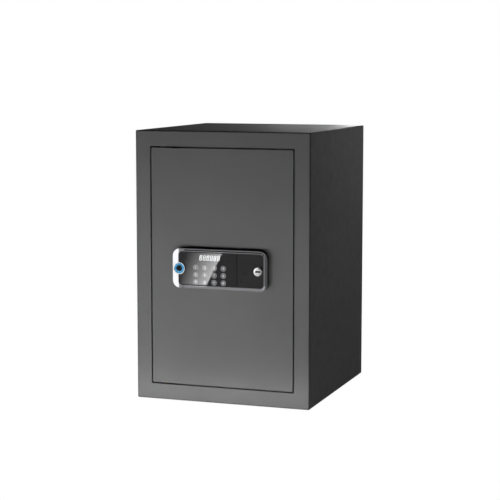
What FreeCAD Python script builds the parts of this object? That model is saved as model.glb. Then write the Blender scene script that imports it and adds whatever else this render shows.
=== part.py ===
import FreeCAD, Part
import math
import os
from types import SimpleNamespace

import Sketcher
from FreeCAD import Placement, Rotation, Vector

# An electronic in-room safe: a welded steel cabinet with an inset door on concealed pins, three
# motor-driven live bolts, a lock panel with touch glass, fingerprint sensor and emergency key, one
# lift-out shelf and carpet on the floor. Millimetres. The door faces -Y, +Z is up, and the origin is the
# centre of the bounding box's base.

doc = FreeCAD.newDocument("InRoomSafe")

# ---------------------------------------------------------------- driving dimensions

DRIVING = (
    ("cabinet_width", 350), ("cabinet_depth", 370), ("cabinet_height", 520),
    ("wall", 3), ("bend_radius", 2.5), ("frame_border", 30), ("corner_radius", 3), ("lip_depth", 16),
    ("anchor_radius", 6), ("anchor_spacing", 220), ("anchor_row_gap", 180), ("rear_anchor_height", 400),
    ("door_gap", 2.5), ("door_thickness", 5), ("door_edge_radius", 0.8),
    ("pivot_inset", 24), ("pivot_depth", 10), ("pin_radius", 4.5), ("running_clearance", 0.08),
    ("casing_width", 268), ("casing_height", 400), ("casing_depth", 40), ("casing_sheet", 1.5),
    ("bolt_radius", 10), ("bolt_spacing", 120), ("bolt_travel", 22), ("bolt_depth", 31),
    ("bolt_end_x", 136), ("bolt_length", 51), ("plate_depth", 22),
    ("gear_module", 1), ("pinion_x", 45), ("rack_pitch_z", 225), ("gear_backlash", 0.12),
    ("panel_x", 0.65), ("panel_width", 189.2), ("panel_height", 76), ("panel_radius", 15),
    ("panel_reach", 18), ("bezel_reach", 14), ("housing_reach", 9), ("window_left", -81.4),
    ("window_right", 87.2), ("window_height", 63.4), ("window_radius", 6), ("glass_reach", 13),
    ("glass_thickness", 3),
    ("bezel_edge_radius", 0.6), ("ridge_width", 4.2), ("ridge_height", 0.6), ("ridge_end_x", -76),
    ("seam_x", 35.8), ("seam_gap", 0.9), ("touch_board_reach", 6),
    ("first_key_x", -47.2), ("first_key_z", 2.4), ("key_pitch_x", 18.5), ("key_pitch_z", 13.8),
    ("key_radius", 5.3), ("display_x", -19.1), ("display_z", 22.1),
    ("sensor_x", -79.7), ("sensor_radius", 11.5), ("sensor_light_radius", 9.8), ("sensor_window_radius", 5.9),
    ("sensor_reach", 16.5), ("lock_x", 78.6), ("lock_radius", 8.4), ("lock_edge_radius", 0.8),
    ("plug_radius", 6), ("keyway_height", 3.4), ("keyway_length", 9.8), ("cam_arm", 30),
    ("shelf_z", 262), ("shelf_depth", 290), ("shelf_width", 338), ("carpet_thickness", 3),
    ("shelf_setback", 64), ("board_x", -58), ("board_z", 335), ("battery_x", -66), ("battery_z", 150),
    ("cell_radius", 7.1), ("cell_length", 49), ("cell_pitch", 15), ("button_x", -104), ("button_z", 245),
)


class Size:
    """A length that keeps both its value and the formula on the sheet's cells that gives it."""

    def __init__(self, value, formula):
        self.value = float(value)
        self.formula = formula

    def joined(self, sign, other, value):
        return Size(value, f"({self.formula} {sign} {size(other).formula})")

    def __add__(self, other):
        return self.joined("+", other, self.value + size(other).value)

    def __sub__(self, other):
        return self.joined("-", other, self.value - size(other).value)

    def __mul__(self, other):
        return self.joined("*", other, self.value * size(other).value)

    def __truediv__(self, other):
        return self.joined("/", other, self.value / size(other).value)

    def __neg__(self):
        return Size(-self.value, f"(0 - {self.formula})")

    def __radd__(self, other):
        return size(other) + self

    def __rsub__(self, other):
        return size(other) - self

    def __rmul__(self, other):
        return size(other) * self


def size(value):
    return value if isinstance(value, Size) else Size(value, repr(float(value)))


sheet = doc.addObject("Spreadsheet::Sheet", "Dimensions")
for row, (alias, number) in enumerate(DRIVING, start=1):
    sheet.set(f"A{row}", alias.replace("_", " "))
    sheet.set(f"B{row}", str(number))
    sheet.setAlias(f"B{row}", alias)
doc.recompute()
d = SimpleNamespace(**{alias: Size(number, f"Dimensions.{alias}") for alias, number in DRIVING})

# ---------------------------------------------------------------- places worked out from them

FRONT_Y = (d.panel_reach - d.cabinet_depth) / 2
BACK_Y = FRONT_Y + d.cabinet_depth
HALF_WIDTH = d.cabinet_width / 2
MIDDLE_Z = d.cabinet_height / 2
OPENING_HALF = HALF_WIDTH - d.frame_border
OPENING_HEIGHT = d.cabinet_height - d.frame_border * 2
OPENING_TOP = d.cabinet_height - d.frame_border
DOOR_HALF = OPENING_HALF - d.door_gap
DOOR_HEIGHT = OPENING_HEIGHT - d.door_gap * 2
PIVOT_X = d.pivot_inset - DOOR_HALF
PIVOT_Y = FRONT_Y + d.pivot_depth
DOOR_BACK = FRONT_Y + d.door_thickness
CASING_HALF = d.casing_width / 2
COVER_Y = DOOR_BACK + d.casing_depth
PLATE_Y = FRONT_Y + d.plate_depth
BOLT_Y = FRONT_Y + d.bolt_depth
BOLT_START_X = d.bolt_end_x - d.bolt_length
PINION_TEETH = 18
PINION_RADIUS = d.gear_module * PINION_TEETH / 2
PRESSURE_ANGLE = math.radians(20)
ADDENDUM, DEDENDUM = 0.95, 1.3
PINION_Z = d.rack_pitch_z - PINION_RADIUS
GLASS_Y = FRONT_Y - d.glass_reach
GLASS_BACK = GLASS_Y + d.glass_thickness
TOUCH_BOARD_Y = FRONT_Y - d.touch_board_reach
WINDOW_X = (d.window_left + d.window_right) / 2
WINDOW_WIDTH = d.window_right - d.window_left
CARRIAGE_THICKNESS = 3
BOARD_THICKNESS = 1.6
GEARBOX_BACK = PLATE_Y - 1
GEARBOX_BELOW_SHAFT = 28
MOTOR_LENGTH = 32
MOTOR_BOTTOM = PINION_Z - GEARBOX_BELOW_SHAFT - MOTOR_LENGTH
CAM_FRONT = FRONT_Y + 14
CAM_BACK = CAM_FRONT + 3

# ---------------------------------------------------------------- outlines


class Rectangle:
    """A rectangle about its centre, with rounded corners if it is given a radius."""

    def __init__(self, x, y, width, height, radius=None):
        self.x, self.y, self.width, self.height = map(size, (x, y, width, height))
        self.radius = size(radius) if radius is not None else None

    def draw(self, sketch):
        x0, x1 = self.x.value - self.width.value / 2, self.x.value + self.width.value / 2
        y0, y1 = self.y.value - self.height.value / 2, self.y.value + self.height.value / 2
        r = self.radius.value if self.radius else 0.0
        corners = ((x0 + r, y0), (x1 - r, y0), (x1, y0 + r), (x1, y1 - r),
                   (x1 - r, y1), (x0 + r, y1), (x0, y1 - r), (x0, y0 + r))
        points = [Vector(x, y, 0) for x, y in corners]
        sides = [sketch.addGeometry(Part.LineSegment(points[2 * i], points[2 * i + 1])) for i in range(4)]
        if self.radius:
            centres = (Vector(x1 - r, y0 + r, 0), Vector(x1 - r, y1 - r, 0),
                       Vector(x0 + r, y1 - r, 0), Vector(x0 + r, y0 + r, 0))
            arcs = []
            for turn, centre in enumerate(centres):
                circle = Part.Circle(centre, Vector(0, 0, 1), r)
                start = (turn - 1) * math.pi / 2
                arcs.append(sketch.addGeometry(Part.ArcOfCircle(circle, start, start + math.pi / 2)))
            for turn in range(4):
                sketch.addConstraint(Sketcher.Constraint("Tangent", sides[turn], 2, arcs[turn], 1))
                sketch.addConstraint(Sketcher.Constraint("Tangent", arcs[turn], 2, sides[(turn + 1) % 4], 1))
            for arc in arcs[1:]:
                sketch.addConstraint(Sketcher.Constraint("Equal", arcs[0], arc))
            bind(sketch, "Radius", (arcs[0],), self.radius)
        else:
            for turn in range(4):
                following = sides[(turn + 1) % 4]
                sketch.addConstraint(Sketcher.Constraint("Coincident", sides[turn], 2, following, 1))
        bottom, right, top, left = sides
        for side in (bottom, top):
            sketch.addConstraint(Sketcher.Constraint("Horizontal", side))
        for side in (right, left):
            sketch.addConstraint(Sketcher.Constraint("Vertical", side))
        bind(sketch, "DistanceX", (-1, 1, left, 1), self.x - self.width / 2)
        bind(sketch, "DistanceY", (-1, 1, bottom, 1), self.y - self.height / 2)
        bind(sketch, "DistanceX", (left, 1, right, 1), self.width)
        bind(sketch, "DistanceY", (bottom, 1, top, 1), self.height)


class Circle:
    def __init__(self, x, y, radius):
        self.x, self.y, self.radius = map(size, (x, y, radius))

    def draw(self, sketch):
        centre = Vector(self.x.value, self.y.value, 0)
        ring = sketch.addGeometry(Part.Circle(centre, Vector(0, 0, 1), self.radius.value))
        bind(sketch, "DistanceX", (-1, 1, ring, 3), self.x)
        bind(sketch, "DistanceY", (-1, 1, ring, 3), self.y)
        bind(sketch, "Radius", (ring,), self.radius)


class Slot:
    """A level slot whose end arcs are centred on x_start and x_end."""

    def __init__(self, x_start, x_end, y, radius):
        self.x_start, self.x_end, self.y, self.radius = map(size, (x_start, x_end, y, radius))

    def draw(self, sketch):
        r, y = self.radius.value, self.y.value
        left, right = Vector(self.x_start.value, y, 0), Vector(self.x_end.value, y, 0)
        up = Vector(0, r, 0)
        bottom = sketch.addGeometry(Part.LineSegment(left - up, right - up))
        top = sketch.addGeometry(Part.LineSegment(right + up, left + up))
        quarter = math.pi / 2
        end = sketch.addGeometry(Part.ArcOfCircle(Part.Circle(right, Vector(0, 0, 1), r), -quarter, quarter))
        turn = Part.ArcOfCircle(Part.Circle(left, Vector(0, 0, 1), r), quarter, 3 * quarter)
        start = sketch.addGeometry(turn)
        for first, second in ((bottom, end), (end, top), (top, start), (start, bottom)):
            sketch.addConstraint(Sketcher.Constraint("Tangent", first, 2, second, 1))
        sketch.addConstraint(Sketcher.Constraint("Horizontal", bottom))
        bind(sketch, "Radius", (end,), self.radius)
        bind(sketch, "DistanceX", (-1, 1, start, 3), self.x_start)
        bind(sketch, "DistanceX", (-1, 1, end, 3), self.x_end)
        bind(sketch, "DistanceY", (-1, 1, start, 3), self.y)


class Polygon:
    def __init__(self, *corners):
        self.corners = [(size(x), size(y)) for x, y in corners]

    def draw(self, sketch):
        points = [Vector(x.value, y.value, 0) for x, y in self.corners]
        sides = []
        for start, end in zip(points, points[1:] + points[:1]):
            sides.append(sketch.addGeometry(Part.LineSegment(start, end)))
        for side, following in zip(sides, sides[1:] + sides[:1]):
            sketch.addConstraint(Sketcher.Constraint("Coincident", side, 2, following, 1))
        for side, (x, y) in zip(sides, self.corners):
            bind(sketch, "DistanceX", (-1, 1, side, 1), x)
            bind(sketch, "DistanceY", (-1, 1, side, 1), y)


class Channel:
    """A channel of even width that runs along the top, the right side and the bottom of a rectangle, with
    round corners and square ends at x_end."""

    def __init__(self, x_end, x_right, y, height, radius, width):
        self.x_end, self.x_right, self.y, self.height, self.radius, self.width = map(
            size, (x_end, x_right, y, height, radius, width)
        )

    def bend(self, sketch, inset):
        """Draws one side of the channel, from its upper end round to its lower end."""
        x0, x1, y = self.x_end.value, self.x_right.value - inset, self.y.value
        half, r = self.height.value / 2 - inset, self.radius.value - inset
        corners = ((x0, half), (x1 - r, half), (x1, half - r), (x1, r - half), (x1 - r, -half), (x0, -half))
        points = [Vector(px, y + py, 0) for px, py in corners]
        top, side, bottom = [
            sketch.addGeometry(Part.LineSegment(points[i], points[i + 1])) for i in (0, 2, 4)
        ]
        arcs = []
        for centre_y, start in ((y + half - r, 0), (y - half + r, -math.pi / 2)):
            circle = Part.Circle(Vector(x1 - r, centre_y, 0), Vector(0, 0, 1), r)
            arcs.append(sketch.addGeometry(Part.ArcOfCircle(circle, start, start + math.pi / 2)))
        for first, end, second, start in ((top, 2, arcs[0], 2), (arcs[0], 1, side, 1),
                                          (side, 2, arcs[1], 2), (arcs[1], 1, bottom, 1)):
            sketch.addConstraint(Sketcher.Constraint("Tangent", first, end, second, start))
        for level in (top, bottom):
            sketch.addConstraint(Sketcher.Constraint("Horizontal", level))
        sketch.addConstraint(Sketcher.Constraint("Equal", *arcs))
        return top, side, bottom, arcs[0]

    def draw(self, sketch):
        outer = self.bend(sketch, 0)
        inner = self.bend(sketch, self.width.value)
        for (top, side, bottom, arc), inset in ((outer, size(0)), (inner, self.width)):
            half = self.height / 2 - inset
            bind(sketch, "DistanceX", (-1, 1, top, 1), self.x_end)
            bind(sketch, "DistanceX", (-1, 1, bottom, 2), self.x_end)
            bind(sketch, "DistanceY", (-1, 1, top, 1), self.y + half)
            bind(sketch, "DistanceY", (-1, 1, bottom, 2), self.y - half)
            bind(sketch, "DistanceX", (-1, 1, side, 1), self.x_right - inset)
            bind(sketch, "Radius", (arc,), self.radius - inset)
        for end, point in ((0, 1), (2, 2)):
            first, second = outer[end], inner[end]
            ends = [sketch.getPoint(line, point) for line in (first, second)]
            closing = sketch.addGeometry(Part.LineSegment(*ends))
            sketch.addConstraint(Sketcher.Constraint("Coincident", closing, 1, first, point))
            sketch.addConstraint(Sketcher.Constraint("Coincident", closing, 2, second, point))


def bind(sketch, kind, places, length):
    """Adds a dimension to a sketch and ties it to the sheet."""
    index = sketch.addConstraint(Sketcher.Constraint(kind, *places, length.value))
    name = f"{kind.lower()}{index}"
    sketch.renameConstraint(index, name)
    sketch.setExpression(f"Constraints.{name}", length.formula)


# ---------------------------------------------------------------- ways to make a piece

FACING, LEVEL, ACROSS = "XZ_Plane", "XY_Plane", "YZ_Plane"
NODES = {}


def keep(item, label):
    """Names a finished sub-part, which is written out under that name."""
    item.Label = label
    NODES[label] = item
    return item


class Body:
    """A PartDesign body. FACING outlines are (x, z) and grow along Y, LEVEL ones (x, y) along Z, and
    ACROSS ones (y, z) along X. Every level is a coordinate on the axis that the outline grows along."""

    def __init__(self, label):
        self.body = doc.addObject("PartDesign::Body", label)
        self.last = None
        keep(self.body, label)

    def sketch(self, plane, level, outlines):
        made = self.body.newObject("Sketcher::SketchObject", "Outline")
        origin = [o for o in self.body.Origin.OriginFeatures if o.Role == plane]
        made.AttachmentSupport = (origin[0], [""])
        made.MapMode = "FlatFace"
        offset = -size(level) if plane == FACING else size(level)
        made.setExpression("AttachmentOffset.Base.z", offset.formula)
        for outline in outlines:
            outline.draw(made)
        return made

    def grow(self, kind, plane, start, end, outlines, backwards):
        profile = self.sketch(plane, start, outlines)
        self.last = self.body.newObject(f"PartDesign::{kind}", kind)
        self.last.Profile = profile
        self.last.Reversed = backwards
        self.last.setExpression("Length", (size(end) - size(start)).formula)
        return self

    def pad(self, plane, start, end, *outlines):
        return self.grow("Pad", plane, start, end, outlines, plane == FACING)

    def cut(self, plane, start, end, *outlines):
        doc.recompute()
        before = self.body.Shape.Volume
        self.grow("Pocket", plane, start, end, outlines, plane != FACING)
        doc.recompute()
        if self.body.Shape.Volume > before - 1e-3:
            raise RuntimeError(f"a cut in {self.body.Label} removed nothing")
        return self

    def fillet(self, radius, chosen):
        """Rounds the edges that the test picks by the box around each."""
        doc.recompute()
        names = [f"Edge{i}" for i, e in enumerate(self.last.Shape.Edges, start=1) if chosen(e.BoundBox)]
        base = self.last
        self.last = self.body.newObject("PartDesign::Fillet", "Fillet")
        self.last.Base = (base, names)
        self.last.setExpression("Radius", size(radius).formula)
        return self


def outer_front_edges(level, half_width, half_height, middle_x=0):
    """Picks the edges of a FACING outline that lie on its front face and reach its outermost sides."""
    slack, middle = 0.1, size(middle_x).value

    def chosen(box):
        across = max(abs(box.XMin - middle), abs(box.XMax - middle))
        upright = max(abs(box.ZMin - MIDDLE_Z.value), abs(box.ZMax - MIDDLE_Z.value))
        outermost = across > half_width.value - slack or upright > half_height.value - slack
        return outermost and box.YMax < level.value + slack
    return chosen


def place(item, x, y, z, rotation=Rotation()):
    item.Placement = Placement(Vector(0, 0, 0), rotation)
    for axis, length in zip("xyz", (x, y, z)):
        item.setExpression(f"Placement.Base.{axis}", size(length).formula)
    return item


def block(x, y, z, width, depth, height):
    """A box from its lowest corner."""
    item = doc.addObject("Part::Box", "Block")
    for prop, length in (("Length", width), ("Width", depth), ("Height", height)):
        item.setExpression(prop, size(length).formula)
    return place(item, x, y, z)


ALONG = {
    "x": Rotation(Vector(0, 1, 0), 90),
    "y": Rotation(Vector(1, 0, 0), -90),
    "z": Rotation(),
}


def rod(axis, x, y, z, radius, length):
    """A round bar that starts at the point and runs along the axis."""
    item = doc.addObject("Part::Cylinder", "Rod")
    item.setExpression("Radius", size(radius).formula)
    item.setExpression("Height", size(length).formula)
    return place(item, x, y, z, ALONG[axis])


def hexagon(x, y, z, across_flats, length):
    """A hexagonal bar along Y."""
    item = doc.addObject("Part::Prism", "Hexagon")
    item.Polygon = 6
    item.setExpression("Circumradius", (size(across_flats) / math.sqrt(3)).formula)
    item.setExpression("Height", size(length).formula)
    return place(item, x, y, z, ALONG["y"])


def joined(first, *others):
    item = doc.addObject("Part::MultiFuse", "Joined")
    item.Shapes = [first, *others]
    return item


def without(base, *tools):
    item = doc.addObject("Part::Cut", "Without")
    item.Base = base
    item.Tool = tools[0] if len(tools) == 1 else joined(*tools)
    return item


def group(label, items):
    """Identical pieces, or pieces of one kind, that share a name as separate solids."""
    item = doc.addObject("Part::Compound", "Group")
    item.Links = list(items)
    return keep(item, label)


def screw(x, y, z, shank_radius, shank_length, head_radius, head_length):
    """A cap screw along Y: the shank runs towards -Y from y, and the head stands on its +Y side."""
    length = size(shank_length)
    shank = rod("y", x, size(y) - length, z, shank_radius, length)
    return joined(shank, rod("y", x, y, z, head_radius, head_length))


# Shank radius, shank length, head radius and head length of the screws that are used in several places.
COVER_SCREW = (1.6, 6, 3.2, 1.8)
SMALL_SCREW = (1.5, 6, 2.8, 1.8)
PANEL_SCREW = (2, 9, 3.5, 2.5)


def wire_route(points, radius_share=0.45):
    """Straight runs through the points, joined by tangent arcs as large as the two runs allow."""
    corners = [Vector(*p) for p in points]
    edges, radii, start = [], [], corners[0]
    for before, corner, after in zip(corners, corners[1:], corners[2:]):
        incoming, outgoing = corner - before, after - corner
        shorter = min(incoming.Length, outgoing.Length)
        incoming.normalize()
        outgoing.normalize()
        turn = incoming.getAngle(outgoing)
        reach = radius_share * shorter
        radius = reach / math.tan(turn / 2)
        entry, leave = corner - incoming * reach, corner + outgoing * reach
        towards = outgoing - incoming
        towards.normalize()
        middle = corner + towards * (radius / math.cos(turn / 2) - radius)
        edges.append(Part.LineSegment(start, entry).toShape())
        edges.append(Part.Arc(entry, middle, leave).toShape())
        radii.append(radius)
        start = leave
    edges.append(Part.LineSegment(start, corners[-1]).toShape())
    return Part.Wire(edges), radii


def lead(label, points, radius):
    """A cable of round section along a fixed route inside the door."""
    route, radii = wire_route([[size(c).value for c in p] for p in points])
    first = route.Edges[0]
    start, direction = first.Vertexes[0].Point, first.tangentAt(first.FirstParameter)
    ring = Part.Wire(Part.Circle(start, direction, radius).toShape())
    item = doc.addObject("Part::Feature", label)
    item.Shape = route.makePipeShell([ring], True, False)
    expected = math.pi * radius ** 2 * route.Length
    print(f"{label}: length {route.Length:.1f}, volume share {item.Shape.Volume / expected:.3f},"
          f" smallest radius {min(radii):.1f}")
    return keep(item, label)


# ---------------------------------------------------------------- cabinet


def cabinet():
    """The welded box: a wrapped sheet, a front frame whose opening is turned inwards, and a back."""
    wall = d.wall
    wrap = Body("cabinet_wrap")
    inner_width, inner_height = d.cabinet_width - wall * 2, d.cabinet_height - wall * 2
    outside = Rectangle(0, MIDDLE_Z, d.cabinet_width, d.cabinet_height, d.bend_radius)
    inside = Rectangle(0, MIDDLE_Z, inner_width, inner_height)
    wrap.pad(FACING, FRONT_Y + wall, BACK_Y, outside, inside)
    wrap.cut(LEVEL, 0, wall, *[Circle(x, y, d.anchor_radius) for x, y in base_anchor_places()])

    frame = Body("front_frame")
    opening = Rectangle(0, MIDDLE_Z, OPENING_HALF * 2, OPENING_HEIGHT, d.corner_radius)
    frame.pad(FACING, FRONT_Y, FRONT_Y + wall, outside, opening)
    frame.fillet(d.bend_radius, outer_front_edges(FRONT_Y, HALF_WIDTH, d.cabinet_height / 2))
    lip_outside = Rectangle(
        0, MIDDLE_Z, OPENING_HALF * 2 + wall * 2, OPENING_HEIGHT + wall * 2, d.corner_radius + wall
    )
    frame.pad(FACING, FRONT_Y + wall, FRONT_Y + wall + d.lip_depth, lip_outside, opening)
    pin_hole = Circle(PIVOT_X, PIVOT_Y, d.pin_radius + d.running_clearance)
    frame.cut(LEVEL, d.frame_border - wall * 2, OPENING_TOP + wall * 2, pin_hole)

    back = Body("rear_panel")
    half = d.anchor_spacing / 2
    rear_anchors = [Circle(x, d.rear_anchor_height, d.anchor_radius) for x in (-half, half)]
    back.pad(FACING, BACK_Y - wall, BACK_Y, inside, *rear_anchors)


def base_anchor_places():
    half, row, middle_y = d.anchor_spacing / 2, d.anchor_row_gap / 2, (FRONT_Y + BACK_Y) / 2
    return [(x, middle_y + y) for x in (-half, half) for y in (-row, row)]


def pivot_hole(low, height):
    return rod("z", PIVOT_X, PIVOT_Y, low, d.pin_radius + d.running_clearance, height)


def hinge_plates():
    """Thick plates welded outside the opening's lip, which carry the door's pins, and the washer that
    the door turns on."""
    width, depth, thickness = 44, 28, 6
    plates = []
    for low in (OPENING_TOP + d.wall, d.frame_border - d.wall - thickness):
        plate = block(PIVOT_X - width / 2, FRONT_Y + d.wall, low, width, depth, thickness)
        plates.append(without(plate, pivot_hole(low - 1, thickness + 2)))
    group("hinge_plates", plates)
    washer_thickness, washer_radius = d.door_gap - 0.1, 7.5
    washer = rod("z", PIVOT_X, PIVOT_Y, d.frame_border, washer_radius, washer_thickness)
    keep(without(washer, pivot_hole(d.frame_border - 1, washer_thickness + 2)), "thrust_washer")


def door_stops():
    """Strips inside the lip that the shut door's edges lie against, clear of the hinge corner."""
    strip_gap, strip_depth, overlap, hinge_clearance = 1, 2, 6.5, 38
    strip_y = DOOR_BACK + strip_gap
    left = PIVOT_X + hinge_clearance
    length = OPENING_HALF - d.corner_radius - left
    strips = [block(left, strip_y, z, length, strip_depth, overlap)
              for z in (d.frame_border, OPENING_TOP - overlap)]
    side_z = d.frame_border + overlap
    side_height = OPENING_HEIGHT - 2 * overlap
    strips.append(block(OPENING_HALF - overlap, strip_y, side_z, overlap, strip_depth, side_height))
    group("door_stops", strips)


def strike_channel():
    """The welded channel that the live bolts enter, which also keeps the contents off them."""
    half_height, depth, bolt_clearance, window_corner = 160, 50, 1.5, 1.5
    inner_x, wall = OPENING_HALF + d.wall, d.wall
    deep = FRONT_Y + depth
    cabinet_x = HALF_WIDTH - wall
    strike = Body("strike_channel")
    strike.pad(
        LEVEL, MIDDLE_Z - half_height, MIDDLE_Z + half_height,
        Polygon(
            (inner_x, FRONT_Y + wall), (inner_x + wall, FRONT_Y + wall), (inner_x + wall, deep - wall),
            (cabinet_x, deep - wall), (cabinet_x, deep), (inner_x, deep),
        ),
    )
    window = (d.bolt_radius + bolt_clearance) * 2
    windows = [Rectangle(BOLT_Y, z, window, window, window_corner) for z in bolt_heights()]
    strike.cut(ACROSS, inner_x - 1, inner_x + wall + 1, *windows)


def interior():
    """Shelf brackets, the lift-out shelf and the two carpets."""
    wall, length, reach, drop, thickness = d.wall, 40, 22, 24, 2
    shelf_front = FRONT_Y + d.shelf_setback
    inner_x = HALF_WIDTH - wall
    brackets = []
    for ledge_x, leg_x in ((-inner_x, -inner_x), (inner_x - reach, inner_x - thickness)):
        for along in (30, 220):
            y = shelf_front + along
            ledge = block(ledge_x, y, d.shelf_z - thickness, reach, length, thickness)
            leg = block(leg_x, y, d.shelf_z - drop, thickness, length, drop - thickness / 2)
            brackets.append(joined(ledge, leg))
    group("shelf_brackets", brackets)

    sheet_thickness, skirt, skirt_inset, corner, carpet_inset = 1.5, 14, 25, 4, 3
    shelf = Body("shelf")
    low = d.shelf_z
    centre_y = shelf_front + d.shelf_depth / 2
    tray = Rectangle(0, centre_y, d.shelf_width, d.shelf_depth, corner)
    shelf.pad(LEVEL, low, low + sheet_thickness, tray)
    skirt_width = d.shelf_width - 2 * skirt_inset
    skirt_outline = Rectangle(0, shelf_front + sheet_thickness / 2, skirt_width, sheet_thickness)
    shelf.pad(LEVEL, low - skirt, low, skirt_outline)

    shelf_carpet = Body("shelf_carpet")
    shelf_top = low + sheet_thickness
    carpet_width, carpet_depth = d.shelf_width - 2 * carpet_inset, d.shelf_depth - 2 * carpet_inset
    shelf_carpet.pad(
        LEVEL, shelf_top, shelf_top + d.carpet_thickness,
        Rectangle(0, centre_y, carpet_width, carpet_depth, corner),
    )

    floor = Body("floor_carpet")
    floor_depth, side_gap, back_gap, floor_corner = 300, 4, 4, 5
    floor_y = BACK_Y - wall - back_gap - floor_depth / 2
    floor_width = d.cabinet_width - (wall + side_gap) * 2
    floor_outline = Rectangle(0, floor_y, floor_width, floor_depth, floor_corner)
    floor.pad(LEVEL, wall, wall + d.carpet_thickness, floor_outline)
    holes = [Circle(x, y, d.anchor_radius * 2) for x, y in base_anchor_places()]
    floor.cut(LEVEL, wall, wall + d.carpet_thickness, *holes)


# ---------------------------------------------------------------- door


def bolt_heights():
    return [MIDDLE_Z - d.bolt_spacing, MIDDLE_Z, MIDDLE_Z + d.bolt_spacing]


def panel_screw_places():
    """Two screws each side, behind the panel's corners."""
    across, up = 62, 24
    return [(x, MIDDLE_Z + z) for x in (-across, across) for z in (-up, up)]


def door_shell():
    """The front plate, the pivot hardware and the folded casing behind the plate."""
    plate = Body("door_plate")
    panel_screw_hole, lock_hole, cable_hole, sensor_hole = 2.2, d.lock_radius - 0.4, 9, 5
    holes = [Circle(x, z, panel_screw_hole) for x, z in panel_screw_places()]
    holes.append(Circle(d.lock_x, MIDDLE_Z, lock_hole))
    holes.append(Circle(d.display_x, MIDDLE_Z, cable_hole))
    holes.append(Circle(d.sensor_x, MIDDLE_Z, sensor_hole))
    outline = Rectangle(0, MIDDLE_Z, DOOR_HALF * 2, DOOR_HEIGHT, d.corner_radius)
    plate.pad(FACING, FRONT_Y, DOOR_BACK, outline, *holes)
    plate.fillet(d.door_edge_radius, outer_front_edges(FRONT_Y, DOOR_HALF, DOOR_HEIGHT / 2))

    width, depth, height, pin_length, pin_above, pin_below = 20, 16, 22, 40, 17, 15
    door_top, door_bottom = MIDDLE_Z + DOOR_HEIGHT / 2, MIDDLE_Z - DOOR_HEIGHT / 2
    upper = (door_top - height, door_top + pin_above - pin_length)
    lower = (door_bottom, door_bottom - pin_below)
    knuckles, pins = [], []
    for block_z, pin_z in (upper, lower):
        knuckle = block(PIVOT_X - width / 2, DOOR_BACK, block_z, width, depth, height)
        bore = rod("z", PIVOT_X, PIVOT_Y, block_z - 1, d.pin_radius, height + 2)
        knuckles.append(without(knuckle, bore))
        pins.append(rod("z", PIVOT_X, PIVOT_Y, pin_z, d.pin_radius, pin_length))
    group("hinge_blocks", knuckles)
    group("hinge_pins", pins)

    bar_reach, bar_thickness, bar_height = 18, 5, 300
    dead_bar = block(-CASING_HALF - bar_reach, FRONT_Y + d.lip_depth + bar_thickness,
                     MIDDLE_Z - bar_height / 2, bar_reach, bar_thickness, bar_height)
    keep(dead_bar, "hinge_side_dead_bar")

    casing = Body("door_casing")
    inner_width, inner_height = d.casing_width - d.casing_sheet * 2, d.casing_height - d.casing_sheet * 2
    fold, flange, tapped_hole, bolt_play = 4, 12, 1.7, 0.5
    outside = Rectangle(0, MIDDLE_Z, d.casing_width, d.casing_height, fold)
    casing.pad(
        FACING, DOOR_BACK, COVER_Y - d.casing_sheet, outside,
        Rectangle(0, MIDDLE_Z, inner_width, inner_height, fold - d.casing_sheet),
    )
    casing.pad(
        FACING, COVER_Y - d.casing_sheet, COVER_Y, outside,
        Rectangle(0, MIDDLE_Z, inner_width - 2 * flange, inner_height - 2 * flange),
        *[Circle(x, z, tapped_hole) for x, z in cover_screw_places()],
    )
    bolt_holes = [Circle(BOLT_Y, z, d.bolt_radius + bolt_play) for z in bolt_heights()]
    casing.cut(ACROSS, CASING_HALF - 2 * d.casing_sheet, CASING_HALF + 1, *bolt_holes)


def cover_screw_places():
    """Down both sides, between the heights of the live bolts."""
    inset = 7
    side, top, near = CASING_HALF - inset, d.casing_height / 2 - inset, d.bolt_spacing / 2
    return [(x, MIDDLE_Z + z) for x in (-side, side) for z in (-top, -near, near, top)]


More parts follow.
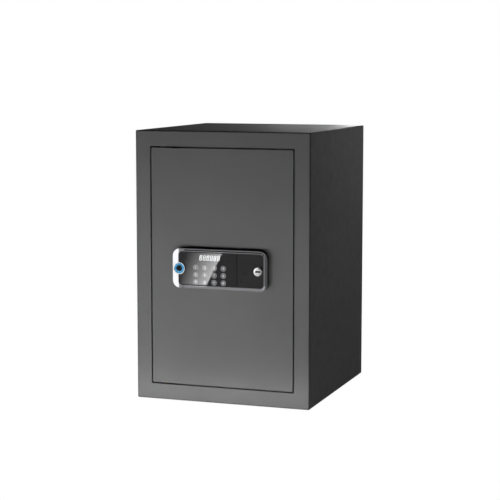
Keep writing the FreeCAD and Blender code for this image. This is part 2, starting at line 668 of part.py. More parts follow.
def inner_cover():
    """The sheet that closes the casing, its screws, and the battery bay with its sliding lid."""
    sheet_thickness, corner, bay_corner = d.casing_sheet, 4, 2
    button_hole, screw_hole = 4.6, 2
    cover = Body("inner_cover")
    bay_width, bay_height = d.cell_length + 11, d.cell_pitch * 4 + 3
    window = Rectangle(d.battery_x, d.battery_z, bay_width, bay_height, bay_corner)
    cover.pad(
        FACING, COVER_Y, COVER_Y + sheet_thickness,
        Rectangle(0, MIDDLE_Z, d.casing_width, d.casing_height, corner), window,
        Circle(d.button_x, d.button_z, button_hole),
        *[Circle(x, z, screw_hole) for x, z in cover_screw_places()],
    )
    lid_front = COVER_Y + sheet_thickness
    lid_overlap, lid_thickness, play = 4, 2.5, 0.3
    lid_width, lid_height = bay_width + 2 * lid_overlap, bay_height + 2 * lid_overlap
    # Two rails hold the lid's sides, and run on below it so that it can slide down off the bay.
    rail_width, rail_grip, rail_run, rail_sheet = 2, 3.5, 54, 1
    rail_height = lid_height + rail_run
    rail_z = d.battery_z + lid_height / 2 - rail_height / 2
    rail_back = lid_front + lid_thickness + play
    outer = lid_width / 2 + play + rail_width
    for start, end, width in (
        (lid_front, rail_back, rail_width), (rail_back, rail_back + rail_sheet, rail_grip),
    ):
        cover.pad(FACING, start, end, *[
            Rectangle(d.battery_x + side * (outer - width / 2), rail_z, width, rail_height)
            for side in (-1, 1)
        ])
    screws = [screw(x, lid_front, z, *COVER_SCREW) for x, z in cover_screw_places()]
    group("cover_screws", screws)

    wall, tray_depth = 1.5, 18
    tray = Body("battery_tray")
    tray.pad(
        FACING, COVER_Y - tray_depth, COVER_Y,
        Rectangle(d.battery_x, d.battery_z, bay_width, bay_height, bay_corner),
    )
    tray.cut(
        FACING, COVER_Y - tray_depth + wall, COVER_Y,
        Rectangle(d.battery_x, d.battery_z, bay_width - 2 * wall, bay_height - 2 * wall, 1),
    )
    cells, contacts = [], []
    low_z = d.battery_z - d.cell_pitch * 1.5
    cell_y = COVER_Y - tray_depth / 2
    nub_radius, nub_length, contact, contact_sheet = 2.7, 1.2, 10, 1
    left_contact_x = d.battery_x - bay_width / 2 + wall
    right_contact_x = d.battery_x + bay_width / 2 - wall - contact_sheet
    for row in range(4):
        z = low_z + d.cell_pitch * row
        x = d.battery_x - d.cell_length / 2
        nub_at_right = row % 2 == 0
        nub_x = x + d.cell_length if nub_at_right else x - nub_length
        can = rod("x", x, cell_y, z, d.cell_radius, d.cell_length)
        cells.append(joined(can, rod("x", nub_x, cell_y, z, nub_radius, nub_length)))
        for contact_x in (left_contact_x, right_contact_x):
            contacts.append(
                block(contact_x, cell_y - contact / 2, z - contact / 2, contact_sheet, contact, contact)
            )
    group("battery_cells", cells)
    group("battery_contacts", contacts)

    lid = Body("battery_lid")
    lid.pad(
        FACING, lid_front, lid_front + lid_thickness,
        Rectangle(d.battery_x, d.battery_z, lid_width, lid_height, 1),
    )
    groove_half, groove_pitch, groove_depth = 9, 5, 1
    ribs = [Slot(d.battery_x - groove_half, d.battery_x + groove_half, d.battery_z + step * groove_pitch, 1)
            for step in range(-2, 3)]
    lid.cut(FACING, lid_front + lid_thickness - groove_depth, lid_front + lid_thickness, *ribs)


def reset_button():
    """The red code-reset button on the door's inside, and its switch."""
    side, depth, well, cap_radius, cap_length, cap_play, sunk = 14, 12, 5, 4, 7, 0.2, 2.4
    switch = block(d.button_x - side / 2, COVER_Y - depth, d.button_z - side / 2, side, depth, side)
    stem_well = rod("y", d.button_x, COVER_Y - well, d.button_z, cap_radius + cap_play, well + 1)
    keep(without(switch, stem_well), "reset_switch")
    cap = rod("y", d.button_x, COVER_Y - sunk, d.button_z, cap_radius, cap_length)
    keep(cap, "reset_button")


# ---------------------------------------------------------------- boltwork


def boltwork():
    """The sliding plate with its three round bolts, its guides and its drive."""
    half_height, tab_height = 140, 40
    low, high = MIDDLE_Z - half_height, MIDDLE_Z + half_height
    tab_x, middle_tab_x, strip_x, edge_x = 28, 10, 70, BOLT_START_X
    lower_tab, upper_tab = low + tab_height, high - tab_height
    middle_low, middle_high = d.rack_pitch_z - 3, MIDDLE_Z + 25
    plate_back = PLATE_Y + CARRIAGE_THICKNESS
    stud_x, stud_radius, end_play, side_play = 60, 4, 0.5, 0.15
    stud_heights = (MIDDLE_Z - d.bolt_spacing, MIDDLE_Z + d.bolt_spacing)
    slot_start, slot_end = stud_x - d.bolt_travel - end_play, stud_x + end_play
    slots = [Slot(slot_start, slot_end, z, stud_radius + side_play) for z in stud_heights]
    carriage = Body("bolt_carriage")
    carriage.pad(
        FACING, PLATE_Y, plate_back,
        Polygon(
            (tab_x, low), (edge_x, low), (edge_x, high), (tab_x, high), (tab_x, upper_tab),
            (strip_x, upper_tab), (strip_x, middle_high), (middle_tab_x, middle_high),
            (middle_tab_x, middle_low),
            (strip_x, middle_low), (strip_x, lower_tab), (tab_x, lower_tab),
        ),
        *slots,
    )
    flange_end = BOLT_Y + d.bolt_radius
    flange_x, flange_height, screw_radius = edge_x - CARRIAGE_THICKNESS, 26, 3
    flanges = [Rectangle((plate_back + flange_end) / 2, z, flange_end - plate_back, flange_height)
               for z in bolt_heights()]
    carriage.pad(ACROSS, flange_x, edge_x, *flanges)
    screw_holes = [Circle(BOLT_Y, z, screw_radius + 0.1) for z in bolt_heights()]
    carriage.cut(ACROSS, flange_x, edge_x, *screw_holes)
    # The stud that the key cam pushes stops just short of the cam's plane, so that either can move alone.
    cam_gap, cam_stud_radius, cam_stud_x, cam_stud_z = 0.3, 3, d.lock_x - 25, MIDDLE_Z - 13
    carriage.pad(FACING, CAM_BACK + cam_gap, PLATE_Y, Circle(cam_stud_x, cam_stud_z, cam_stud_radius))

    bolts, nose_bevel = [], 1.5
    for z in bolt_heights():
        bar = rod("x", edge_x, BOLT_Y, z, d.bolt_radius, d.bolt_length)
        tapped = rod("x", edge_x - 1, BOLT_Y, z, screw_radius, 16)
        nose = doc.addObject("Part::Chamfer", "Nose")
        nose.Base = without(bar, tapped)
        doc.recompute()
        end = d.bolt_end_x.value
        found = [i for i, e in enumerate(nose.Base.Shape.Edges, start=1)
                 if abs(e.BoundBox.XMin - end) < 0.01 and len(e.Vertexes) == 1]
        nose.Edges = [(i, nose_bevel, nose_bevel) for i in found]
        bolts.append(nose)
    group("live_bolts", bolts)
    screws, shank_length, head_radius, head_length = [], 14, 5, 6
    for z in bolt_heights():
        shank = rod("x", flange_x, BOLT_Y, z, screw_radius, shank_length)
        screws.append(joined(shank, rod("x", flange_x - head_length, BOLT_Y, z, head_radius, head_length)))
    group("bolt_screws", screws)

    guides, guide_x, sheet_thickness, guide_depth, guide_height, foot_width = [], 112, 3, 37, 36, 10
    for z in bolt_heights():
        low_z = z - guide_height / 2
        bracket = block(guide_x, DOOR_BACK, low_z, sheet_thickness, guide_depth, guide_height)
        foot = block(guide_x + sheet_thickness, DOOR_BACK, low_z, foot_width, 1, guide_height)
        bore = rod("x", guide_x - 1, BOLT_Y, z, d.bolt_radius + 0.3, 20)
        guides.append(without(joined(bracket, foot), bore))
    group("bolt_guides", guides)

    spacers, shoulders, shank_radius, flange_radius, play = [], [], 2.5, 7, 0.2
    for z in stud_heights:
        spacer = rod("y", stud_x, DOOR_BACK, z, flange_radius, PLATE_Y - DOOR_BACK - play)
        spacers.append(without(spacer, rod("y", stud_x, DOOR_BACK - 1, z, shank_radius, 20)))
        shank = rod("y", stud_x, DOOR_BACK, z, shank_radius, PLATE_Y - DOOR_BACK)
        shoulder = rod("y", stud_x, PLATE_Y - play, z, stud_radius, CARRIAGE_THICKNESS + 2 * play)
        head = rod("y", stud_x, plate_back + play, z, flange_radius, 3)
        shoulders.append(joined(shank, shoulder, head))
    group("carriage_spacers", spacers)
    group("shoulder_screws", shoulders)


def rack():
    """A straight bar with teeth on its lower edge, screwed to the carriage's middle tab."""
    pitch = math.pi * d.gear_module.value
    slope = math.tan(PRESSURE_ANGLE)
    tooth_spaces, spaces_left_of_pinion = 15, 10
    left, right, height, thickness = 8, 62, 11, 6
    front = PLATE_Y + CARRIAGE_THICKNESS
    bar = Body("bolt_rack")
    tip_z = d.rack_pitch_z - d.gear_module * ADDENDUM
    bar.pad(
        FACING, front, front + thickness,
        Polygon((left, tip_z), (right, tip_z), (right, tip_z + height), (left, tip_z + height)),
    )
    # The first space between teeth. The pattern repeats it past the pinion, over whose tooth one is centred.
    half_space = (pitch / 2 + d.gear_backlash.value) / 2
    first_x = d.pinion_x - spaces_left_of_pinion * pitch
    mouth, root = 1.2, 1.25
    bar.cut(
        FACING, front, front + thickness,
        Polygon(
            (first_x - half_space - slope * mouth, d.rack_pitch_z - mouth),
            (first_x + half_space + slope * mouth, d.rack_pitch_z - mouth),
            (first_x + half_space - slope * root, d.rack_pitch_z + root),
            (first_x - half_space + slope * root, d.rack_pitch_z + root),
        ),
    )
    teeth = bar.body.newObject("PartDesign::LinearPattern", "Teeth")
    teeth.Originals = [bar.last]
    teeth.Direction = (bar.last.Profile[0], ["H_Axis"])
    teeth.setExpression("Length", f"pi * Dimensions.gear_module * {tooth_spaces - 1}")
    teeth.Occurrences = tooth_spaces
    bar.body.Tip = teeth
    bar.last = teeth


def pinion():
    """Involute gear and its output shaft. Neither primitives nor sketches make an involute, so the
    outline comes from the involute's own formula."""
    teeth = PINION_TEETH
    module = d.gear_module.value
    pitch_radius = PINION_RADIUS.value
    base_radius = pitch_radius * math.cos(PRESSURE_ANGLE)
    outer_radius, root_radius = pitch_radius + ADDENDUM * module, pitch_radius - DEDENDUM * module
    involute_at_pitch = math.tan(PRESSURE_ANGLE) - PRESSURE_ANGLE
    half_tooth = (math.pi * module / 2 - d.gear_backlash.value) / 2 / pitch_radius

    def flank(radius):
        pressure = math.acos(min(1.0, base_radius / radius))
        return half_tooth + involute_at_pitch - (math.tan(pressure) - pressure)

    steps = 5
    radii = [base_radius + (outer_radius - base_radius) * i / steps for i in range(steps + 1)]
    outline = []
    for tooth in range(teeth):
        centre = math.pi / 2 + 2 * math.pi * tooth / teeth
        rising = [(root_radius, -flank(base_radius))] + [(r, -flank(r)) for r in radii]
        falling = [(r, flank(r)) for r in reversed(radii)] + [(root_radius, flank(base_radius))]
        for radius, angle in rising + falling:
            outline.append((radius * math.cos(centre + angle), radius * math.sin(centre + angle)))
    gap, face_width, shaft_radius = 0.4, 5.6, 3
    x0, y0, z0 = d.pinion_x.value, PLATE_Y.value + CARRIAGE_THICKNESS + gap, PINION_Z.value
    points = [Vector(x0 + x, y0, z0 + z) for x, z in outline]
    gear = Part.Face(Part.makePolygon(points + points[:1])).extrude(Vector(0, face_width, 0))
    bore = Part.makeCylinder(shaft_radius, face_width + 2, Vector(x0, y0 - 1, z0), Vector(0, 1, 0))
    item = doc.addObject("Part::Feature", "drive_pinion")
    item.Shape = gear.cut(bore)
    keep(item, "drive_pinion")
    sunk, past_plate = 4, 10.5
    shaft_start = GEARBOX_BACK - sunk
    shaft_length = PLATE_Y + past_plate - shaft_start
    keep(rod("y", d.pinion_x, shaft_start, PINION_Z, shaft_radius, shaft_length), "output_shaft")


def motor():
    """Worm gearmotor between the door plate and the carriage, and the switches that stop it."""
    depth, width, height = 15, 32, 44
    front = GEARBOX_BACK - depth
    low = PINION_Z - GEARBOX_BELOW_SHAFT
    case = [block(d.pinion_x - width / 2, front, low, width, depth, height)]
    foot_width, foot_thickness, foot_height = 8, 4, 12
    foot_places = [d.pinion_x + side * (width + foot_width) / 2 for side in (-1, 1)]
    for x in foot_places:
        foot = block(x - foot_width / 2, DOOR_BACK, PINION_Z - foot_height / 2,
                     foot_width, foot_thickness, foot_height)
        case.append(without(foot, rod("y", x, DOOR_BACK - 1, PINION_Z, SMALL_SCREW[0], foot_thickness + 2)))
    seat_depth, seat_radius = 4.2, 3.06
    seat = rod("y", d.pinion_x, GEARBOX_BACK - seat_depth, PINION_Z, seat_radius, seat_depth + 2)
    keep(without(joined(*case), seat), "worm_gearbox")
    motor_radius = 7.3
    motor_y = front + depth / 2
    keep(rod("z", d.pinion_x, motor_y, low - MOTOR_LENGTH, motor_radius, MOTOR_LENGTH), "drive_motor")
    radius, _, head_radius, head_length = SMALL_SCREW
    group("gearbox_screws", [
        screw(x, DOOR_BACK + foot_thickness, PINION_Z, radius, foot_thickness, head_radius, head_length)
        for x in foot_places
    ])
    switches, switch_z, body_height = [], MIDDLE_Z + 60, 6.5
    for x in (96, 12):
        body = block(x, DOOR_BACK, switch_z, 13, 9, body_height)
        lever = block(x + 1, DOOR_BACK + 2.5, switch_z + body_height, 11, 4, 0.6)
        switches.append(joined(body, lever))
    group("limit_switches", switches)


# ---------------------------------------------------------------- emergency key lock


def key_lock():
    """Cam lock behind the panel's right end. The key turns the plug and the cam a quarter turn."""
    x, z = d.lock_x, MIDDLE_Z
    head_front = FRONT_Y - d.panel_reach
    head = rod("y", x, head_front, z, d.lock_radius, d.panel_reach - d.glass_reach)
    shoulder, cam_gap, through = 1, 0.4, 60
    tube = rod("y", x, GLASS_Y, z, d.lock_radius - shoulder, CAM_FRONT - GLASS_Y - cam_gap)
    bore = rod("y", x, head_front - 1, z, d.plug_radius + d.running_clearance, through)
    barrel = joined(head, tube)
    doc.recompute()
    rounded = doc.addObject("Part::Fillet", "RoundedHead")
    rounded.Base = barrel
    front = head_front.value
    found = [i for i, e in enumerate(barrel.Shape.Edges, start=1) if e.BoundBox.YMax < front + 0.01]
    edge_radius = d.lock_edge_radius.value
    rounded.Edges = [(i, edge_radius, edge_radius) for i in found]
    keep(without(rounded, bore), "lock_barrel")

    recess, keyway_depth, screw_radius = 0.8, 21, 1.8
    plug_front = head_front + recess
    plug = rod("y", x, plug_front, z, d.plug_radius, CAM_FRONT - plug_front)
    keyway = block(x - d.keyway_length / 2, plug_front - 1, z - d.keyway_height / 2,
                   d.keyway_length, keyway_depth + 1, d.keyway_height)
    screw_hole = rod("y", x, CAM_FRONT - 7, z, screw_radius, 10)
    keep(without(plug, keyway, screw_hole), "key_plug")

    cam = Body("key_cam")
    hub_radius, root_half, tip_half = 7, 4.5, 3.5
    cam.pad(FACING, CAM_FRONT, CAM_BACK, Circle(x, z, hub_radius), Circle(x, z, screw_radius))
    cam.pad(FACING, CAM_FRONT, CAM_BACK, Polygon(
        (x - root_half, z - root_half), (x - tip_half, z - d.cam_arm),
        (x + tip_half, z - d.cam_arm), (x + root_half, z - root_half),
    ))
    keep(screw(x, CAM_BACK, z, screw_radius, 8, 3.4, 2.2), "cam_screw")

    nut_flats, nut_thickness = 22, 4
    nut = hexagon(x, DOOR_BACK, z, nut_flats, nut_thickness)
    thread = rod("y", x, DOOR_BACK - 1, z, d.lock_radius - shoulder, nut_thickness + 2)
    keep(without(nut, thread), "barrel_nut")


# ---------------------------------------------------------------- lock panel


def sensor_circle(radius):
    return Circle(d.sensor_x, MIDDLE_Z, radius)


def lock_panel():
    """The panel on the door's face: housing, metal bezel, touch glass, end plate and what is behind."""
    housing_front = FRONT_Y - d.housing_reach
    inset, side_wall, top_wall, floor, corner = 1, 2, 1, 2, 5
    housing = Body("panel_housing")
    housing.pad(
        FACING, housing_front, FRONT_Y,
        Rectangle(d.panel_x, MIDDLE_Z, d.panel_width - 2 * inset, d.panel_height - 2 * inset,
                  d.panel_radius - inset),
    )
    hollow = Rectangle(WINDOW_X, MIDDLE_Z, WINDOW_WIDTH - 2 * side_wall, d.window_height - 2 * top_wall,
                       corner)
    housing.cut(FACING, housing_front, FRONT_Y - floor, hollow)
    housing.cut(FACING, housing_front, FRONT_Y - floor, sensor_circle(d.sensor_radius))
    barrel_hole, cable_hole = Circle(d.lock_x, MIDDLE_Z, d.lock_radius - 0.8), 8
    housing.cut(
        FACING, FRONT_Y - floor, FRONT_Y,
        barrel_hole, Circle(d.display_x, MIDDLE_Z, cable_hole),
        *[Circle(x, z, PANEL_SCREW[0]) for x, z in panel_screw_places()],
    )
    housing.cut(FACING, housing_front, FRONT_Y - floor, barrel_hole)

    bezel = Body("panel_bezel")
    front = FRONT_Y - d.bezel_reach
    outside = Rectangle(d.panel_x, MIDDLE_Z, d.panel_width, d.panel_height, d.panel_radius)
    window = Rectangle(WINDOW_X, MIDDLE_Z, WINDOW_WIDTH, d.window_height, d.window_radius)
    bezel.pad(FACING, front, housing_front, outside, window)
    rim = outer_front_edges(front, d.panel_width / 2, d.panel_height / 2, d.panel_x)
    bezel.fillet(d.bezel_edge_radius, rim)
    # A ridge stands round the window. It is open to the left, where the band with the sensor is plain.
    beyond = 12
    reach = d.ridge_width + beyond
    outside_ridge = Channel(
        d.ridge_end_x, d.window_right + reach, MIDDLE_Z, d.window_height + 2 * reach,
        d.window_radius + reach, beyond,
    )
    bezel.cut(FACING, front, front + d.ridge_height, outside_ridge)
    bezel.cut(FACING, front, housing_front, sensor_circle(d.sensor_radius))

    # Both panes fill the window, and each is cut off at the seam and pierced for what stands in it.
    gap, away = 0.1, 200
    fitting = Rectangle(WINDOW_X, MIDDLE_Z, WINDOW_WIDTH - 2 * gap, d.window_height - 2 * gap,
                        d.window_radius - gap)
    head_hole = Circle(d.lock_x, MIDDLE_Z, d.lock_radius - 0.9)
    half_seam = (away + d.seam_gap) / 2
    for label, cut_x, hole in (
        ("touch_glass", d.seam_x - d.seam_gap + half_seam, sensor_circle(d.sensor_radius)),
        ("fascia_end_plate", d.seam_x + d.seam_gap - half_seam, head_hole),
    ):
        pane = Body(label)
        pane.pad(FACING, GLASS_Y, GLASS_BACK, fitting)
        pane.cut(FACING, GLASS_Y, GLASS_BACK, Rectangle(cut_x, MIDDLE_Z, away, away))
        pane.cut(FACING, GLASS_Y, GLASS_BACK, hole)
    group("panel_screws", [screw(x, DOOR_BACK, z, *PANEL_SCREW) for x, z in panel_screw_places()])


def panel_electronics():
    """Touch board with its twelve light guides, the display block and the fingerprint module."""
    board = Body("touch_board")
    left, right, height, corner, screw_hole = d.sensor_x + 14, d.seam_x - 3, d.window_height - 8, 2, 3
    board.pad(
        FACING, TOUCH_BOARD_Y, TOUCH_BOARD_Y + BOARD_THICKNESS,
        Rectangle((left + right) / 2, MIDDLE_Z, right - left, height, corner),
        *[Circle(x, z, screw_hole) for x, z in panel_screw_places()[:2]],
    )
    guides = []
    for row in range(3):
        for column in range(4):
            x = d.first_key_x + d.key_pitch_x * column
            z = MIDDLE_Z + d.first_key_z - d.key_pitch_z * row
            guides.append(rod("y", x, GLASS_BACK, z, d.key_radius, TOUCH_BOARD_Y - GLASS_BACK))
    group("key_light_guides", guides)
    width, height = 46, 13
    display = block(d.display_x - width / 2, GLASS_BACK, MIDDLE_Z + d.display_z - height / 2,
                    width, TOUCH_BOARD_Y - GLASS_BACK, height)
    keep(display, "display_module")

    ring_front, ring_back = FRONT_Y - d.sensor_reach, FRONT_Y - 7
    rim, window = sensor_circle(d.sensor_light_radius), sensor_circle(d.sensor_window_radius)
    ring = Body("sensor_bezel")
    ring.pad(FACING, ring_front, ring_back, sensor_circle(d.sensor_radius), rim)
    level = ring_front.value
    ring.fillet(0.8, lambda b: b.YMax < level + 0.01)
    light_recess, window_recess, module_radius = 0.5, 0.9, 10
    light = Body("sensor_light_ring")
    light.pad(FACING, ring_front + light_recess, ring_back, rim, window)
    sensor = Body("fingerprint_sensor")
    sensor.pad(FACING, ring_front + window_recess, ring_back, window)
    sensor.pad(FACING, ring_back, FRONT_Y - 2, sensor_circle(module_radius))


def door_electronics():
    """Main board on its standoffs, with the parts on it, and the leads that join everything."""
    board_width, board_height, board_corner, standoff, hole_inset = 90, 110, 3, 8, 5
    board_y = DOOR_BACK + standoff
    board_back = board_y + BOARD_THICKNESS
    board = Body("control_board")
    half_x, half_z = board_width / 2 - hole_inset, board_height / 2 - hole_inset
    corners = [(d.board_x + x, d.board_z + z) for x in (-half_x, half_x) for z in (-half_z, half_z)]
    thread, standoff_radius = SMALL_SCREW[0], 3.5
    board.pad(
        FACING, board_y, board_back,
        Rectangle(d.board_x, d.board_z, board_width, board_height, board_corner),
        *[Circle(x, z, thread) for x, z in corners],
    )
    group("board_standoffs", [
        without(rod("y", x, DOOR_BACK, z, standoff_radius, standoff),
                rod("y", x, DOOR_BACK, z, thread, standoff))
        for x, z in corners
    ])
    group("board_screws", [screw(x, board_back, z, *SMALL_SCREW) for x, z in corners])
    # What stands on the board: x and z from its centre, width, and height along Z where it varies.
    chip_depth, buzzer_radius, buzzer_depth, socket_depth, socket_height = 2.2, 6, 9, 7, 8
    chips = [block(d.board_x + x, board_back, d.board_z + z, w, chip_depth, h)
             for x, z, w, h in ((-20, -8, 18, 18), (14, 12, 9, 12), (-26, 28, 12, 8))]
    buzzer = rod("y", d.board_x + 22, board_back, d.board_z - 18, buzzer_radius, buzzer_depth)
    sockets = [block(d.board_x + x, board_back, d.board_z + z, w, socket_depth, socket_height)
               for x, z, w in ((26, -48, 10), (-8, -54, 8), (8, -54, 12))]
    group("board_components", [buzzer, *chips, *sockets])

    lead_y = board_back + 4
    lead("panel_cable", (
        (d.display_x, TOUCH_BOARD_Y + BOARD_THICKNESS, MIDDLE_Z), (d.display_x, DOOR_BACK - 1, MIDDLE_Z),
        (d.display_x, DOOR_BACK + 8, MIDDLE_Z + 5), (d.board_x + 31, lead_y, MIDDLE_Z + 14),
        (d.board_x + 31, lead_y, d.board_z - 48),
    ), 2.2)
    lead("motor_lead", (
        (d.pinion_x, DOOR_BACK + 8, MOTOR_BOTTOM), (d.pinion_x, DOOR_BACK + 8, MOTOR_BOTTOM - 12),
        (d.pinion_x - 14, DOOR_BACK + 6, MOTOR_BOTTOM - 24),
        (d.pinion_x - 32, DOOR_BACK + 7, MOTOR_BOTTOM - 12),
        (d.pinion_x - 42, DOOR_BACK + 6, MOTOR_BOTTOM + 30),
        (d.pinion_x - 60, DOOR_BACK + 7, MIDDLE_Z - 30),
        (d.board_x + 14, lead_y, MIDDLE_Z + 4), (d.board_x + 14, lead_y, d.board_z - 54),
    ), 1.3)
    tray_top = d.battery_z + d.cell_pitch * 2 + 1.5
    lead("battery_lead", (
        (d.battery_x - 4, COVER_Y - 12, tray_top), (d.battery_x - 4, COVER_Y - 12, tray_top + 18),
        (d.battery_x + 4, COVER_Y - 16, tray_top + 42), (d.battery_x + 2, lead_y + 3, tray_top + 66),
        (d.board_x - 4, lead_y, tray_top + 84), (d.board_x - 4, lead_y, d.board_z - 54),
    ), 1.3)


cabinet()
hinge_plates()
door_stops()
strike_channel()
interior()
door_shell()
inner_cover()
reset_button()
boltwork()
rack()
pinion()
motor()
key_lock()
lock_panel()
panel_electronics()
door_electronics()

# ---------------------------------------------------------------- check and write

doc.recompute()
for item in doc.Objects:
    if {"Invalid", "Error"} & set(item.State):
        raise RuntimeError(f"{item.Name} ({item.Label}) could not be built: {item.State}")
os.makedirs("parts", exist_ok=True)
for old in os.listdir("parts"):
    os.remove(os.path.join("parts", old))
for label, item in NODES.items():
    if item.Shape.isNull() or not item.Shape.isValid() or not item.Shape.Solids:
        raise RuntimeError(f"{label} has no valid solid")
    item.Shape.exportStep(f"parts/{label}.step")
print(f"{len(NODES)} sub-parts written")
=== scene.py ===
import math

import bmesh
import bpy
from mathutils import Matrix, Vector, noise


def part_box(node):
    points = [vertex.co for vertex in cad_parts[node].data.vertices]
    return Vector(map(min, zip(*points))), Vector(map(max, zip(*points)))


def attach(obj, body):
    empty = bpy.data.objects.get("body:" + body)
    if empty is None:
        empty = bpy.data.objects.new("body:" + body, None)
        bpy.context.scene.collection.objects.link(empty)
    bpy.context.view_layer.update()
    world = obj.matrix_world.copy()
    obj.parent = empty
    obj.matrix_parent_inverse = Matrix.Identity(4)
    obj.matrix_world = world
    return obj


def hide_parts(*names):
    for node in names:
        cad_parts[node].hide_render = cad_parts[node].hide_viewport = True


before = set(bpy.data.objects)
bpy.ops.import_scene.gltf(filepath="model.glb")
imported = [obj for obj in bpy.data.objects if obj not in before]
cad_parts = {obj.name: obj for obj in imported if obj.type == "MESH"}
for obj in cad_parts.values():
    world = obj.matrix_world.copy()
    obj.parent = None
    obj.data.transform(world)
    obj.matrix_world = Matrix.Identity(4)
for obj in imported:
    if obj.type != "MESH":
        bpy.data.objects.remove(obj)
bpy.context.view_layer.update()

# The looks of an electronic in-room safe. Metres, in the frame's own axes: the door faces -Y, +Z is up.

SCENE = bpy.context.scene
MM = 0.001


# ---------------------------------------------------------------- where things are


def centre(node):
    low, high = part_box(node)
    return (low + high) / 2


FRONT_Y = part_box("front_frame")[0].y
GLASS_LOW, GLASS_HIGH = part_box("touch_glass")
FASCIA_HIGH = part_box("fascia_end_plate")[1]
PANEL_LOW, PANEL_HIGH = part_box("panel_bezel")
CABINET_LOW, CABINET_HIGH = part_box("cabinet_wrap")
GLASS_Y = GLASS_LOW.y


# ---------------------------------------------------------------- materials


# Blender's noise seldom leaves this range.
NOISE_LOW, NOISE_HIGH = 0.3, 0.7


def shade(color, share):
    """A darker or lighter version of a colour."""
    return tuple(c * share for c in color)


class Shader:
    """A Principled material, and short calls for the nodes that drive it."""

    def __init__(self, name, color, roughness, metallic=0.0, **sockets):
        self.material = bpy.data.materials.new(name)
        self.material.use_nodes = True
        self.tree = self.material.node_tree
        self.surface = self.tree.nodes["Principled BSDF"]
        self.color = color
        self.roughness = roughness
        self.surface.inputs["Metallic"].default_value = metallic
        self.surface.inputs["Base Color"].default_value = (*color, 1.0)
        self.surface.inputs["Roughness"].default_value = roughness
        for socket, value in sockets.items():
            self.surface.inputs[socket.replace("_", " ")].default_value = value
        self.place = self.node("ShaderNodeTexCoord").outputs["Object"]

    def node(self, kind, **settings):
        made = self.tree.nodes.new(kind)
        for name, value in settings.items():
            setattr(made, name, value)
        return made

    def link(self, source, target):
        self.tree.links.new(source, target)

    def math(self, operation, first, second=0.0):
        made = self.node("ShaderNodeMath", operation=operation)
        for socket, value in zip(made.inputs, (first, second)):
            if isinstance(value, (int, float)):
                socket.default_value = value
            else:
                self.link(value, socket)
        return made.outputs[0]

    def along(self, axis):
        """The place along one axis, in metres."""
        parts = self.node("ShaderNodeSeparateXYZ")
        self.link(self.place, parts.inputs[0])
        return parts.outputs[axis]

    def stretched(self, scale):
        """The place, scaled by a number for each axis, so that a texture runs along one of them."""
        mapping = self.node("ShaderNodeMapping")
        mapping.inputs["Scale"].default_value = scale
        self.link(self.place, mapping.inputs["Vector"])
        return mapping.outputs[0]

    def noise(self, scale, detail=2.0, rough=0.5, stretch=None):
        made = self.node("ShaderNodeTexNoise")
        made.inputs["Scale"].default_value = scale
        made.inputs["Detail"].default_value = detail
        made.inputs["Roughness"].default_value = rough
        self.link(self.stretched(stretch) if stretch else self.place, made.inputs["Vector"])
        return made.outputs["Fac"]

    def cells(self, scale):
        """The distance from the middle of the nearest cell."""
        made = self.node("ShaderNodeTexVoronoi", feature="F1")
        made.inputs["Scale"].default_value = scale
        self.link(self.place, made.inputs["Vector"])
        return made.outputs["Distance"]

    def ramp(self, value, low, high, from_low=0.0, from_high=1.0):
        """Turns a value between from_low and from_high into one between low and high."""
        made = self.node("ShaderNodeMapRange")
        made.inputs["From Min"].default_value = from_low
        made.inputs["From Max"].default_value = from_high
        made.inputs["To Min"].default_value = low
        made.inputs["To Max"].default_value = high
        self.link(value, made.inputs["Value"])
        return made.outputs[0]

    def blend(self, share, first, second):
        """Mixes two colours, each a triple or another mix."""
        made = self.node("ShaderNodeMix", data_type="RGBA")
        self.link(share, made.inputs["Factor"])
        for socket, color in ((made.inputs[6], first), (made.inputs[7], second)):
            if isinstance(color, tuple):
                socket.default_value = (*color, 1.0)
            else:
                self.link(color, socket)
        return made.outputs[2]

    def mottle(self, scale, amount, stretch=None):
        """Makes the colour drift lighter and darker by a share of itself."""
        light = tuple(min(1.0, c) for c in shade(self.color, 1 + amount))
        drift = self.ramp(self.noise(scale, detail=4.0, stretch=stretch), 0.0, 1.0, NOISE_LOW, NOISE_HIGH)
        self.paint(self.blend(drift, shade(self.color, 1 - amount), light))

    def paint(self, color):
        self.coloured = color
        self.link(color, self.surface.inputs["Base Color"])

    def uneven_gloss(self, scale, amount, stretch=None):
        """Makes the roughness drift either side of its value."""
        low, high = self.roughness - amount, self.roughness + amount
        haze = self.noise(scale, detail=3.0, stretch=stretch)
        self.link(self.ramp(haze, low, high, NOISE_LOW, NOISE_HIGH), self.surface.inputs["Roughness"])

    def bump(self, height, distance):
        """Raises the surface by the height, a value between 0 and 1, times the distance in metres."""
        made = self.node("ShaderNodeBump")
        made.inputs["Distance"].default_value = distance
        self.link(height, made.inputs["Height"])
        self.link(made.outputs[0], self.surface.inputs["Normal"])

    def rounded_edge_mask(self, start, end):
        """0 on faces that look along an axis, and 1 on the rounded edges and corners between them.

        It fades as the largest part of the face's direction goes from start to end.
        """
        normal = self.node("ShaderNodeNewGeometry").outputs["True Normal"]
        away = self.node("ShaderNodeVectorMath", operation="ABSOLUTE")
        self.link(normal, away.inputs[0])
        parts = self.node("ShaderNodeSeparateXYZ")
        self.link(away.outputs[0], parts.inputs[0])
        level = self.math("MAXIMUM", parts.outputs[0], parts.outputs[1])
        return self.ramp(self.math("MAXIMUM", level, parts.outputs[2]), 1.0, 0.0, start, end)


def painted_steel(name, color, roughness=0.42):
    """Powder coat: a fine orange peel, with painted shade darkening the rounded edges."""
    coat = Shader(name, color, roughness, Specular_IOR_Level=0.35)
    coat.mottle(scale=9.0, amount=0.05)
    # Painted shade: the rounded edges are darkened towards a quarter of the paint's colour, as if in shadow.
    edges = coat.rounded_edge_mask(start=0.86, end=0.99)
    coat.paint(coat.blend(edges, coat.coloured, shade(color, 0.25)))
    coat.uneven_gloss(scale=60.0, amount=0.04)
    coat.bump(coat.noise(scale=900.0), distance=0.04 * MM)
    return coat.material


